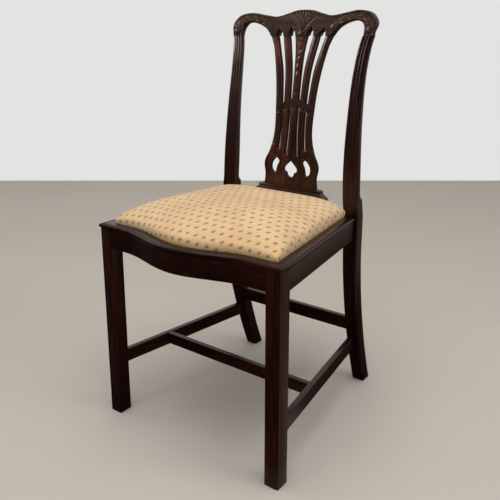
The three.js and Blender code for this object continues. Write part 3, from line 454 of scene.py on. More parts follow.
def spotted_fabric(name):
    """Gold weave with small slanted brown spots in staggered rows, drawn in the cloth's own plane."""
    n = new_nodes(name)
    place = n.place()
    cloth = n.axes(n.given("cloth", "Vector"))
    pitch_x, pitch_y, yarn = 20.5, 18.0, 0.9
    half_wide, half_tall, slant = 4.2, 4.5, 0.5
    wander = n.noise(place, 70.0, 2.0), n.noise(n.scaled(place, (1.0, 1.0, 1.0), (3.0, 5.0, 7.0)), 70.0, 2.0)
    across, down = (w * 0.22 + c / (p / 1000) for w, c, p in zip(wander, cloth, (pitch_x, pitch_y)))
    odd_row = n.math("MODULO", n.math("ABSOLUTE", n.math("FLOOR", down)), 2.0)
    x = (n.math("FRACT", across + odd_row * 0.5) - 0.5) * pitch_x
    y = (n.math("FRACT", down) - 0.5) * pitch_y
    wide, tall = (x - y * slant) / half_wide, y / half_tall
    oval = n.math("SQRT", wide * wide + tall * tall)
    spot = n.range(oval + (n.noise(place, 420.0, 2.0) - 0.5) * 0.7, 1.2, 0.5)
    ground = n.mix(n.range(n.noise(place, 16.0), 0.35, 0.65), colour(224, 187, 141), colour(235, 201, 158))
    fleck = n.noise(n.scaled(place, (1.0, 0.35, 1.0)), 900.0, 2.0)
    ground = n.mix(n.range(fleck, 0.35, 0.7, 0.0, 0.35), ground, colour(205, 168, 118))
    brown = n.mix(n.noise(place, 260.0, 2.0), colour(126, 86, 40), colour(170, 128, 74))
    warp, weft = n.yarns(*cloth, yarn)
    return n.shader({
        "Base Color": n.mix(spot * 0.80, ground, brown),
        "Roughness": 0.8,
        "Normal": n.bump(warp * weft * 0.4 + spot * -0.8, 0.5, 0.0003),
        "Specular IOR Level": 0.12,
        "Sheen Weight": 0.2,
        "Sheen Roughness": 0.5})


def screw_metal(name):
    n = new_nodes(name)
    marks = n.noise(n.scaled(n.place(), (1.0, 1.0, 9.0)), 400.0)
    return n.shader({
        "Base Color": n.mix(marks, colour(96, 88, 78), colour(150, 146, 138)),
        "Roughness": n.range(marks, 0.3, 0.7, 0.32, 0.6),
        "Metallic": 1.0})


# One mahogany in three tones by part: the frame's copy is darker as painted shade, and the splat's and
# crest's copies are lighter and greyer as painted sheen
SHADED_RED = colour(13, 3, 2), colour(30, 7, 4), colour(52, 17, 9)
SHEENED_WARM = colour(22, 8, 5), colour(52, 23, 12), colour(88, 46, 24)
SHEENED_BROWN = colour(14, 8, 6), colour(33, 20, 15), colour(78, 48, 29)
wood_x = mahogany("mahogany_rail", "x", *SHADED_RED, 0.3)
wood_y = mahogany("mahogany_side", "y", *SHADED_RED, 1.1)
wood_z = mahogany("mahogany_leg", "z", *SHADED_RED, 2.3)
wood_splat = mahogany("mahogany_splat", "z", *SHEENED_WARM, 3.7)
wood_crest = mahogany("mahogany_crest", "x", *SHEENED_BROWN, 4.9)
beech_x = beech_wood("beech_across", "x")
beech_y = beech_wood("beech_along", "y")
steel = screw_metal("screw_steel")
jute = plain_weave("jute_webbing", colour(120, 92, 60), colour(178, 144, 100), 2.4)
sacking = plain_weave("hessian", colour(112, 86, 54), colour(176, 144, 98), 1.8)
black_cotton = plain_weave("bottom_cotton", colour(22, 21, 20), colour(44, 42, 40), 0.8)
fabric = spotted_fabric("seat_fabric")


# The chair's own lines, at a height or a depth

SIDE_SLOPE = (FRONT_OUTER - BACK_OUTER + SIDE_SETBACK) / (SEAT_DEPTH - LEG)
post_outer = follow([[0, 1], [0.1, 0.98], [0.32, 0.9625], [0.56, 0.9465], [0.78, 0.941], [0.93, 0.958],
                     [1, 0.983]])
post_width = follow([[0, 1], [0.08, 1.06], [0.32, 1.03], [0.56, 0.924], [0.81, 0.846], [1, 0.81]])
post_depth = follow([[0, 1], [0.09, 1], [0.12, 0.95], [0.32, 0.93], [0.56, 0.81], [0.81, 0.66], [1, 0.625]])
post_flank = follow([[0, 0.5], [0.32, 0.43], [0.81, 0.24], [1, 0.28]])


def side_face(y):
    return FRONT_OUTER - SIDE_SLOPE * np.maximum(0, np.asarray(y, float) - LEG)


def front_face(x):
    share = np.minimum(1, np.abs(x) / 170.0)
    return -FRONT_SWELL * np.cos(share * np.pi / 2) ** 2


def post_share(z):
    return unit((z - SEAT) / (CREST_LOW - SEAT))


def leg_share(z):
    return unit((RAIL_LOW - z) / RAIL_LOW)


def rear_front(z):
    return SEAT_DEPTH + 98 * leg_share(z) ** 1.69 + 48.5 * post_share(z) ** 2.3


def rear_outer(z):
    return BACK_OUTER * post_outer(post_share(z)) - 10 * leg_share(z)


def rear_inner(z):
    return rear_outer(z) - (34 - 3 * leg_share(z)) * post_width(post_share(z))


def post_across(side, z):
    """A share of -1 to 1 from the post's inner to its outer edge, at a height."""
    outer, inner = float(rear_outer(z)), float(rear_inner(z))
    return (2 * side - outer - inner) / (outer - inner)


def splat_front(z):
    return SPLAT_FOOT + SPLAT_LEAN * np.maximum(0, (np.asarray(z, float) - SHOE_TOP) / SPLAT_RISE) ** 1.6


def stretcher_face(y):
    front, back = FRONT_OUTER - 3.5, rear_outer(STRETCHER_LOW) - 11
    return front + (back - front) * (y - LEG) / (rear_front(STRETCHER_LOW) - LEG)


# Front legs: square, with a quirked bead down the outer front corner

def front_leg(side, label):
    bead, quirk, sunk = 3.2, 0.8, 0.55
    turns = np.linspace(1.27, 2.23, 15) * math.pi
    inner, rebate = FRONT_OUTER - LEG, FRONT_OUTER - LIP_INSET
    beaded = np.vstack([
        [[FRONT_OUTER - 2 * bead - quirk, 0], [FRONT_OUTER - 2 * bead + 0.1, sunk]],
        columns(FRONT_OUTER - bead + bead * np.cos(turns), bead + bead * np.sin(turns)),
        [[FRONT_OUTER - sunk, 2 * bead - 0.1], [FRONT_OUTER, 2 * bead + quirk]]])
    plain = eased([[FRONT_OUTER, LEG], [inner, LEG], [inner, 0], [FRONT_OUTER, 0]], 1.0)[:-5]
    notch = [[FRONT_OUTER, LEG], [rebate, LEG], [rebate, LIP_INSET], [inner, LIP_INSET], [inner, 0]]
    section, upper = np.vstack([plain, beaded]), np.vstack([notch, beaded])
    middle = np.array([FRONT_OUTER - LEG / 2, LEG / 2])

    def ring(shape, z, share=1.0):
        x, y = (middle + (shape - middle) * share).T
        return columns(side * x, y, z)

    lower = loft([ring(section, 0.0, 0.93), ring(section, 0.4, 0.965), ring(section, 1.4)]
                 + [ring(section, z) for z in np.linspace(60, LEDGE, 8)])
    top = loft([ring(upper, LEDGE), ring(upper, RAIL_TOP - GAP)])
    add_mesh(f"leg_front_{label}", joined(lower, top), wood_z, f"front_leg_{label}")


# Rear legs, each in one piece with its moulded back post

QUIRKS, QUIRK_DEEP = (-0.46, 0.05, 0.56), 1.5
TURN_LOW, TURN_HIGH = 505, 521


def post_face(share):
    """Depth of the post's front moulding from its inner edge at -1 to its outer edge at 1: a flat
    fillet, two reeds between quirks, and an outer fillet that rolls over."""
    s = np.asarray(share, float)
    cut = np.zeros(s.shape)
    for low, high in zip(QUIRKS, QUIRKS[1:]):
        t = np.abs(2 * s - low - high) / (high - low)
        cut = np.where((s > low) & (s <= high), QUIRK_DEEP * unit(t) ** 2.6, cut)
    cut = np.where(s <= QUIRKS[0], QUIRK_DEEP * unit(1 - (QUIRKS[0] - s) / 0.05), cut)
    return np.where(s > QUIRKS[2], QUIRK_DEEP * unit(1 - (s - QUIRKS[2]) / 0.06), cut)


def rear_leg(side, label):
    across = np.unique(np.round(np.r_[
        np.linspace(QUIRKS[0], QUIRKS[2], 35),
        -1, -0.96, -0.8, -0.6, -0.51, -0.485, 0.59, 0.62, 0.75, 0.88, 0.95, 0.985, 1], 4))
    heights = np.r_[0, 0.5, 1.6, np.linspace(12, RAIL_LOW, 44), 430, 445, 460, SEAT, 480, 492, 500,
                    np.linspace(TURN_LOW, TURN_HIGH, 9), np.linspace(527, CREST_LOW - JOINT, 60)]
    turns = np.linspace(0, math.pi, 25)
    c, s = np.cos(turns), np.sin(turns)
    squared = (np.abs(c) ** 14 + np.abs(s) ** 14) ** (1 / 14)
    face, rings, held = post_face(across), [], []
    for z in heights:
        outer, inner = rear_outer(z), rear_inner(z)
        grow = np.interp(z, [0, 0.5, 1.6, 520, 560, 840, 872], [-1.2, -0.4, 0, 0, 0.45, 0.45, 0])
        middle, half, front = (outer + inner) / 2, (outer - inner) / 2 + grow, rear_front(z) - grow
        depth = 32 * post_depth(post_share(z)) + 2 * grow
        flank = depth * post_flank(post_share(z))
        # The leg is square below the seat and turns into the moulded, half round post above it
        turned = softened(float(unit((z - TURN_LOW) / (TURN_HIGH - TURN_LOW))))
        rolled = 0.5 * unit((np.abs(across) - 0.94) / 0.06) ** 2
        rolled = rolled + turned * 1.3 * unit((across - 0.75) / 0.25) ** 2
        reeds = turned * float(np.interp(z, [TURN_HIGH, 620, 780, CREST_LOW], [0.45, 0.5, 0.85, 1.0]))
        x = np.r_[middle + half * across, middle + half * (c / squared * (1 - turned) + c * turned)]
        y = np.r_[front + face * reeds + rolled,
                  front + flank + (depth - flank) * (s / squared * (1 - turned) + s * turned)]
        rings.append(columns(side * x, y, z))
        # Painted shade in the deep quirks of the post's front, growing upwards from above the seat
        held += [unit(face - 0.6) * unit((z - 560) / 200), np.zeros(len(turns))]
    piece = add_mesh(f"leg_rear_{label}", loft(rings), wood_z, f"rear_leg_{label}", angle=50)
    attribute(piece, "held", np.concatenate(held))


# Seat rails and the moulded lip round them

RAIL = eased([[0, RAIL_LOW], [LEG, RAIL_LOW], [LEG, LEDGE], [LIP_INSET, LEDGE], [LIP_INSET, RAIL_TOP - GAP],
              [0, RAIL_TOP - GAP]], 1.0)
BACK_RAIL, BACK_STEP = 39, 9


def front_stations(reach, count):
    return [((x, float(front_face(x))), (0, 1)) for x in np.linspace(-reach, reach, count)]


def rails():
    stations = front_stations(FRONT_OUTER - LEG - GAP, 97)
    add_mesh("rail_front", sweep(stations, RAIL), wood_x, "front_rail")
    for side, label in ((-1, "left"), (1, "right")):
        stations = [((side * float(side_face(y)), y), (-side, 0)) for y in (LEG + GAP, SEAT_DEPTH - GAP)]
        add_mesh(f"rail_{label}", sweep(stations, RAIL), wood_y, f"side_rail_{label}")
    section = eased([[0, RAIL_LOW], [BACK_RAIL, RAIL_LOW], [BACK_RAIL, SEAT], [BACK_STEP, SEAT],
                     [BACK_STEP, LEDGE], [0, LEDGE]], 1.2)
    reach = float(rear_inner(SEAT)) - GAP
    stations = [((x, SEAT_DEPTH - BACK_STEP), (0, 1)) for x in (-reach, reach)]
    add_mesh("rail_back", sweep(stations, section), wood_x, "rear_rail")


def lip_section():
    middle, half, centre = (SEAT + RAIL_TOP) / 2, (SEAT - RAIL_TOP) / 2, LIP_BEAD - LIP_OVERHANG
    turns = np.linspace(0.5, 1.5, 15) * math.pi
    return np.vstack([
        [[LIP_INSET, RAIL_TOP], [LIP_INSET, SEAT - 1.4], [LIP_INSET - 0.4, SEAT - 0.4],
         [LIP_INSET - 1.4, SEAT], [centre + 2 * LIP_QUIRK + 0.6, SEAT], [centre + 2 * LIP_QUIRK, SEAT - 0.25],
         [centre + LIP_QUIRK, SEAT - LIP_QUIRK]],
        columns(centre + LIP_BEAD * np.cos(turns), middle + half * np.sin(turns))])


def lip(name, stations, material, node):
    """A length of lip, with painted shade in the quirk behind its bead and on its inner face."""
    section = lip_section()
    piece = add_mesh(name, sweep(stations, section), material, node)
    inset, height = section.T
    # Painted shade: the quirk and the inner face beside the seat are darkened
    held = unit(1.4 - np.abs(inset - (LIP_BEAD - LIP_OVERHANG + LIP_QUIRK)) / 1.8) * (height > SEAT - 3)
    attribute(piece, "held", np.tile(np.maximum(held, inset > LIP_INSET - 1), len(stations)))


def lips():
    corner = FRONT_OUTER - GAP / 2
    reach = FRONT_OUTER - LIP_INSET - LIP_OVERHANG
    stations = [((-corner, 0.0), (1, 1)), *front_stations(reach, 105), ((corner, 0.0), (-1, 1))]
    lip("lip_front", stations, wood_x, "front_lip")
    for side, label in ((-1, "left"), (1, "right")):
        stations = [((side * FRONT_OUTER, GAP / 2), (-side, 1)), ((side * FRONT_OUTER, LEG), (-side, 0)),
                    ((side * float(side_face(SEAT_DEPTH)), SEAT_DEPTH - GAP), (-side, 0))]
        lip(f"lip_{label}", stations, wood_y, f"side_lip_{label}")


# Stretchers

def bar(low, high, ends, place):
    """A straight bar whose two ends each follow the face that they meet."""
    section = eased([[0, low], [STRETCHER, low], [STRETCHER, high], [0, high]], 1.2)
    return loft([np.array([place(end(across, z), across, z) for across, z in section], float)
                 for end in ends])


def stretchers():
    for side, label in ((-1, "left"), (1, "right")):
        shape = bar(STRETCHER_LOW, STRETCHER_TOP,
                    [lambda a, z: LEG + GAP, lambda a, z: float(rear_front(z)) - GAP],
                    lambda y, a, z, side=side: (side * (stretcher_face(y) - a), y, z))
        add_mesh(f"stretcher_{label}", shape, wood_y, f"side_stretcher_{label}")
    shape = bar(STRETCHER_TOP - CROSS_HEIGHT, STRETCHER_TOP,
                [lambda a, z, k=k: k * (stretcher_face(CROSS_DEPTH + a) - STRETCHER - GAP) for k in (-1, 1)],
                lambda x, a, z: (x, CROSS_DEPTH + a, z))
    add_mesh("stretcher_cross", shape, wood_x, "cross_stretcher")
    near = float(rear_front(REAR_STRETCHER_TOP)) + 8
    shape = bar(REAR_STRETCHER_LOW, REAR_STRETCHER_TOP,
                [lambda a, z, k=k: k * (float(rear_inner(z)) - GAP) for k in (-1, 1)],
                lambda x, a, z: (x, near + a, z))
    add_mesh("stretcher_rear", shape, wood_x, "rear_stretcher")


# Shoe: its front moulding returns round both ends

def shoe():
    low, back = SEAT + GAP, SHOE_FRONT + SHOE_DEPTH
    face = smooth([[0, 0], [0, 0.55], [0.0, 0.66], [0.06, 0.75], [0.2, 0.81], [0.25, 0.87], [0.23, 0.93],
                   [0.27, 0.985], [0.32, 1]], 4)
    end = smooth([[1, 0], [1, 0.45], [0.93, 0.58], [0.72, 0.69], [0.52, 0.78], [0.42, 0.85], [0.46, 0.9],
                  [0.42, 0.96], [0.25, 1]], 6)
    rings = []
    for up in np.unique(np.r_[np.linspace(0, 1, 30), face[:, 1]]):
        front = SHOE_FRONT + SHOE_DEPTH * np.interp(up, face[:, 1], face[:, 0])
        reach = SHOE_HALF + SHOE_FLARE * np.interp(up, end[:, 1], end[:, 0])
        corners = eased([[-reach, front], [reach, front], [reach, back], [-reach, back]], 1.6, 3)
        rings.append(columns(*corners.T, low + (SHOE_TOP - low) * up))
    add_mesh("shoe_block", loft(rings), wood_x, "shoe")


# Carved boards: the splat and the crest, cut to an outline and carved in relief on the front

def rounding(gap, radius):
    """How far a rounded edge falls back at a distance from it."""
    inner = radius - np.minimum(gap, radius)
    return radius - np.sqrt(np.maximum(0, radius * radius - inner ** 2))


def staggered(x0, z0, x1, z1, spacing):
    """Points in rows, every other row moved by half a step."""
    grid = np.stack(np.meshgrid(np.arange(x0, x1, spacing), np.arange(z0, z1, spacing)), -1).reshape(-1, 2)
    grid[:, 0] += np.where(np.round((grid[:, 1] - z0) / spacing).astype(int) % 2, spacing / 2, 0)
    return grid


def board(name, loops, front, thick, relief, back, edge, material, node, levels, fine):
    """A board with a pierced outline. relief(points, edge distance) gives how far its front is cut
    back, how much painted shade the cut holds and how much wear and painted highlight it has, and
    back() how far its back is cut. Its edges are rounded but for the joints at the levels. Its points lie
    closer in the fine boxes."""
    spacing = 1.45
    loops = [resampled(loop, spacing) for loop in loops]

    def gap(points, levels=()):
        return np.min([distance(points, loop, levels) for loop in loops], axis=0)

    beside, edges, start = [], [], 0
    for loop in loops:
        ahead = np.roll(loop, -1, axis=0) - np.roll(loop, 1, axis=0)
        normal = columns(-ahead[:, 1], ahead[:, 0]) / np.maximum(np.hypot(*ahead.T), 1e-9)[:, None]
        beside += [loop + way * normal * depth
                   for depth in (0.45 * edge, edge, 2.0 * edge) for way in (-1, 1)]
        edges += [(start + i, start + (i + 1) % len(loop)) for i in range(len(loop))]
        start += len(loop)
    grid = staggered(*loops[0].min(0), *loops[0].max(0), spacing)
    for x0, z0, x1, z1 in fine:
        covered = (grid[:, 0] > x0) & (grid[:, 0] < x1) & (grid[:, 1] > z0) & (grid[:, 1] < z1)
        grid = np.vstack([grid[~covered], staggered(x0, z0, x1, z1, 0.55 * spacing)])
    points = [*loops]
    for more, clear in ((np.vstack(beside), 0.4 * edge), (grid, 2.0 * edge + 0.5 * spacing)):
        more = more[inside(more, loops)]
        points.append(more[gap(more) > clear])
    out = geometry.delaunay_2d_cdt([Vector(p) for p in np.vstack(points).tolist()], edges, [], 0, 1e-4)
    flat, faces = np.array([tuple(v) for v in out[0]]), np.array(out[2])
    faces = faces[inside(flat[faces].mean(1), loops)]
    used, again = np.unique(faces, return_inverse=True)
    flat, faces = flat[used], again.reshape(faces.shape)

    free = gap(flat, levels)
    cut, held, wear_and_highlight = relief(flat, free)
    # Painted shade on the walls of the holes near the middle: their front and back rims are darkened, so the
    # wall between them looks dark
    painted_wall_shade = np.where((gap(flat) < 0.05) & (np.abs(flat[:, 0]) < 90), 0.9, 0)
    base = front(*flat.T)
    depths = base + cut + rounding(free, edge), base + thick - back(flat, free)
    n = len(flat)
    sides = {}
    for a, b, c in faces:
        for p, q in ((a, b), (b, c), (c, a)):
            if (q, p) in sides:
                del sides[(q, p)]
            else:
                sides[(p, q)] = True
    shape = np.vstack([columns(flat[:, 0], depth, flat[:, 1]) for depth in depths]), [
        *(tuple(f) for f in faces), *(tuple(f[::-1] + n) for f in faces),
        *((q, p, p + n, q + n) for p, q in sides)]
    piece = add_mesh(name, shape, material, node, angle=60)
    attribute(piece, "held", np.r_[np.maximum(held, painted_wall_shade), painted_wall_shade])
    attribute(piece, "high", np.r_[wear_and_highlight, np.zeros(n)])


def limited(cut, held, wear_and_highlight, away):
    """A relief kept in its range, and quiet close to the board's edges."""
    return np.clip(cut * unit(away / 1.2), -2.0, 3.0), unit(held), np.clip(wear_and_highlight, 0, 1.4)


# Both edges of the half middle rib and of the two ribs beside it, as [height, distance] shares
RIB_HEIGHTS = [0, 0.22, 0.29, 0.4, 0.51, 0.647, 0.785, 0.923, 1]
splat_edges = [follow(s) for s in (
    [[0, 0.14], [0.22, 0.14], [0.29, 0.122], [0.4, 0.095], [0.51, 0.095], [0.785, 0.097],
     [0.923, 0.135], [1, 0.214]],
    [*zip(RIB_HEIGHTS, (0.27, 0.262, 0.242, 0.216, 0.211, 0.229, 0.266, 0.376, 0.434))],
    [*zip(RIB_HEIGHTS, (0.44, 0.432, 0.405, 0.376, 0.376, 0.39, 0.439, 0.56, 0.654))],
    [*zip(RIB_HEIGHTS, (0.57, 0.56, 0.528, 0.492, 0.496, 0.539, 0.618, 0.789, 0.874))],
    [[0, 0.978], [0.0716, 0.948], [0.135, 1], [0.179, 0.952], [0.234, 0.821], [0.317, 0.706], [0.399, 0.667],
     [0.51, 0.6865], [0.647, 0.732], [0.785, 0.8225], [0.923, 0.965], [1, 1.118]])]
RIB_EASE = 1.5
PIERCING = [[0, 1], [0.15, 0.92], [0.5, 0.773], [0.85, 0.614], [1, 0.489], [0.975, 0.375], [0.825, 0.318],
            [0.625, 0.284], [0.575, 0.193], [0.425, 0.068], [0.2, 0.011], [0, 0]]
CRESCENT = [[0.06, 0.87], [0.31, 1], [0.53, 0.937], [0.765, 0.797], [0.94, 0.62], [1, 0.418], [0.96, 0.228],
            [0.8, 0.076], [0.59, 0], [0.39, 0.025], [0.333, 0.165], [0.275, 0.354], [0.157, 0.57], [0, 0.747]]


def rib_line(index, share, shift=0.0, low=SHOE_TOP, rise=SPLAT_RISE):
    """Points along one edge of a rib, moved sideways."""
    return columns(SPLAT_HALF * splat_edges[index](share) + shift, low + rise * share)


def splat_loops():
    """The splat's outline with the slots that open into the crest, then its holes."""
    half = [rib_line(4, np.linspace(0, 1, 90), 0.0, SHOE_TOP + JOINT, SPLAT_RISE - 2 * JOINT)]
    for first, second, low in ((3, 2, 0.562), (1, 0, 0.59)):
        span = np.linspace(1, low, 50)
        ease = RIB_EASE * unit((1 - span) / 0.06)
        half += [rib_line(first, span, -ease, rise=SPLAT_RISE - JOINT),
                 rib_line(second, span, ease, rise=SPLAT_RISE - JOINT)[::-1]]
    loops = [mirrored(np.vstack(half))]
    for side in (-1, 1):
        for first, second, low, high in ((0, 1, 0.223, 0.537), (2, 3, 0.26, 0.507)):
            span = np.linspace(low, high, 40)
            hole = np.vstack([rib_line(first, span, RIB_EASE), rib_line(second, span, -RIB_EASE)[::-1]])
            loops.append(hole * [side, 1])
        ring = smooth([*CRESCENT, CRESCENT[0]], 4)[:-1]
        loops.append(columns(side * (32.5 + 25.5 * ring[:, 0]), 544.5 + 39.5 * ring[:, 1]))
    return [*loops, mirrored(smooth([[20 * a, 537 + 44 * b] for a, b in PIERCING], 4))]


def splat_relief(flat, away, holes):
    x, z = flat.T
    side, share = np.abs(x), (z - SHOE_TOP) / SPLAT_RISE
    edges = [SPLAT_HALF * e(share) for e in splat_edges]
    local = np.full(len(flat), 2.0)
    for place, a, b in ((x, -edges[0], edges[0]), (side, edges[1], edges[2]), (side, edges[3], edges[4])):
        s = (2 * place - a - b) / np.maximum(b - a, 1e-6)
        local = np.where(np.abs(s) <= 1.02, np.abs(s), local)
    cut = bump(share, 0.25, 1.2, 0.05) * np.where(local < 1.05, unit(local) ** 2.4 * 1.5, 0.9)
    # The band that ties the ribs, cut in upright pleats
    middle = np.where(side < edges[2] + 1.5, 719.5, 709.0)
    middle = middle - (middle - 711) * unit((side - 20) / 30)
    band = bump(z, middle - 11.5, middle + 11.5, 3.0)
    pleat = 0.5 + 0.5 * np.cos(2 * np.pi * (side - (z - middle) * 0.18) / 4.2)
    swell = np.sqrt(unit(1 - ((z - middle) / 13.0) ** 2))
    cut = cut * (1 - band) + band * (0.9 - 1.1 * swell + 1.3 * (1 - pleat))
    # Painted shade in the pleats' hollows; the pleats' crests are lighter as rubbed wear
    held = band * (0.25 + unit(1 - pleat - 0.3))
    wear_and_highlight = band * pleat * 0.2
    groove = bump(z, middle - 15.5, middle - 13.0, 1.6) + bump(z, middle + 13.0, middle + 15.5, 1.6)
    cut += groove * 0.8 * (side < 53)
    # Painted shade in the grooves beside the band
    held += groove * 0.6 * (side < 53)
    # Husks down the middle rib, with painted highlights as light strokes on them
    for low, length, width in (
            (846, 20, 5.4), (831, 17, 5.0), (815, 17, 4.7), (799, 16, 4.4), (784, 14, 3.9)):
        t = unit((z - low) / length)
        bell = width * (0.25 + 0.75 * np.sin(np.pi * unit(t * 1.15)) ** 0.8) * (t < 1)
        s = unit(1 - (x / bell.clip(0.1)) ** 2) * ((z > low) & (z < low + length))
        cut -= 1.3 * np.sqrt(s) * (0.45 + 0.55 * t) - 0.5 * s * peak(x, 0.8)
        wear_and_highlight += 0.3 * s * bump(t, 0.25, 0.85, 0.3)
        # Painted shadow under the lower end of each husk
        held += bump(z, low + length - 1.0, low + length + 1.6, 1.2) * (side < width + 1.5)
    for cx, cz in ((4.0, 843), (1.5, 829), (-0.5, 810), (-0.3, 790)):
        stroke = peak(((x - cx - 0.28 * (z - cz)) / 1.5) ** 2 + ((z - cz) / 5.5) ** 2, 1)
        wear_and_highlight += 1.5 * stroke
        cut -= 0.4 * stroke
    # Painted shade beside the husks on the upper middle rib
    held += 0.45 * bump(share, 0.72, 1.1, 0.02) * bump(side, 4.2, 12, 1.6) * (side < edges[0])
    # A groove across the middle rib, with painted shade in it
    collar = 0.9 * bump(z, 745.5, 748.5, 1.2) * (side < 9)
    cut += collar
    held += collar
    # Carved tips at the feet of the ribs
    for cx, cz, tall, wide in (
            (58, 611, 17, 6.5), (10, 597, 15, 5.0), (20.5, 599, 15, 5.5), (41, 610, 16, 6.0)):
        d = ((side - cx) / wide) ** 2 + ((z - cz) / tall) ** 2
        leaf = unit(1 - d)
        cut -= 0.8 * np.sqrt(leaf) - 0.4 * leaf * peak(side - cx, 1.1)
        wear_and_highlight += 0.2 * leaf
        # Painted shade in a ring round each tip
        held += 0.3 * peak(d - 1.12, 0.16)
    # Painted highlights: small light spots at the feet of the slots
    for cx, cz in ((-52.0, 616.0), (-33.5, 607.0), (-9.5, 595.0), (20.5, 595.0), (42.5, 608.0)):
        tip = peak(x - cx, 2.0) * peak(z - cz, 3.4)
        cut -= 0.7 * tip
        wear_and_highlight += 1.5 * tip
    # A raised border round the three piercings of the vase
    vase = bump(share, 0.03, 0.235, 0.02)
    for hole in holes:
        d = distance(flat, hole)
        border, groove = peak(d - 2.2, 1.3), peak(d - 4.8, 0.9) * vase
        cut += 0.7 * groove - 0.9 * border * vase
        # Painted shade in the groove round each piercing
        held += 0.8 * groove
        wear_and_highlight += 0.3 * border
    # Scrolls that run up the sides of the vase
    rim = peak(away - 3.2, 1.2) * bump(share, 0.02, 0.24, 0.03)
    # Painted shade along the scrolls' hollows
    return limited(cut + 0.5 * rim, held + 0.35 * rim, wear_and_highlight, away)


def crest_front(x, z):
    return splat_front(z) - CREST_PROUD - CREST_BOW * (np.asarray(x, float) / CREST_HALF) ** 2


CREST_TOP = [[0, 1], [0.1, 0.98], [0.22, 0.87], [0.385, 0.76], [0.6, 0.86], [0.75, 0.93], [0.89, 0.85],
             [0.965, 0.66], [1, 0.42], [0.99, 0.15]]
CREST_ARCH = [[0.0265, 0.0576], [0.093, 0.173], [0.2, 0.3125], [0.4065, 0.457], [0.61, 0.531], [0.768, 0.543],
              [0.907, 0.488], [0.973, 0.386], [0.998, 0.25]]
SLOT_ARCH = [[0, 0], [0.06, 0.3], [0.2, 0.54], [0.44, 0.68], [0.59, 0.76], [0.68, 1], [0.79, 0.98],
             [0.85, 0.73], [0.94, 0.5], [1, 0]]


def arch(table, start, end, rise):
    return [[start + (end - start) * s, CREST_LOW + rise * t] for s, t in table]


def crest_loops():
    ribs = [SPLAT_HALF * float(e(1.0)) for e in splat_edges]
    inner, outer = float(rear_inner(CREST_LOW)), float(rear_outer(CREST_LOW))
    top_line = smooth([*arch(CREST_TOP, 0, CREST_HALF, CREST_RISE), [outer, CREST_LOW]])
    under = [[ribs[4], CREST_LOW], *arch(CREST_ARCH, ribs[4], inner, CREST_RISE), [inner, CREST_LOW]]
    half = np.vstack([
        [[0, CREST_LOW]], arch(SLOT_ARCH, *ribs[:2], 20.5), arch(SLOT_ARCH, *ribs[2:4], 15.5),
        smooth(under), top_line[::-1]])
    return [mirrored(half)], top_line


def nearest_on(line, side, z):
    """The distance of points to a line, and how far along it they lie."""
    best, along = np.full(len(side), 1e9), np.zeros(len(side))
    for start, end, before in zip(line, line[1:], lengths(line)):
        d = end - start
        px, pz = side - start[0], z - start[1]
        t = unit((px * d[0] + pz * d[1]) / (d @ d))
        far = np.hypot(px - d[0] * t, pz - d[1] * t)
        along = np.where(far < best, before + t * math.hypot(*d), along)
        best = np.minimum(far, best)
    return best, along


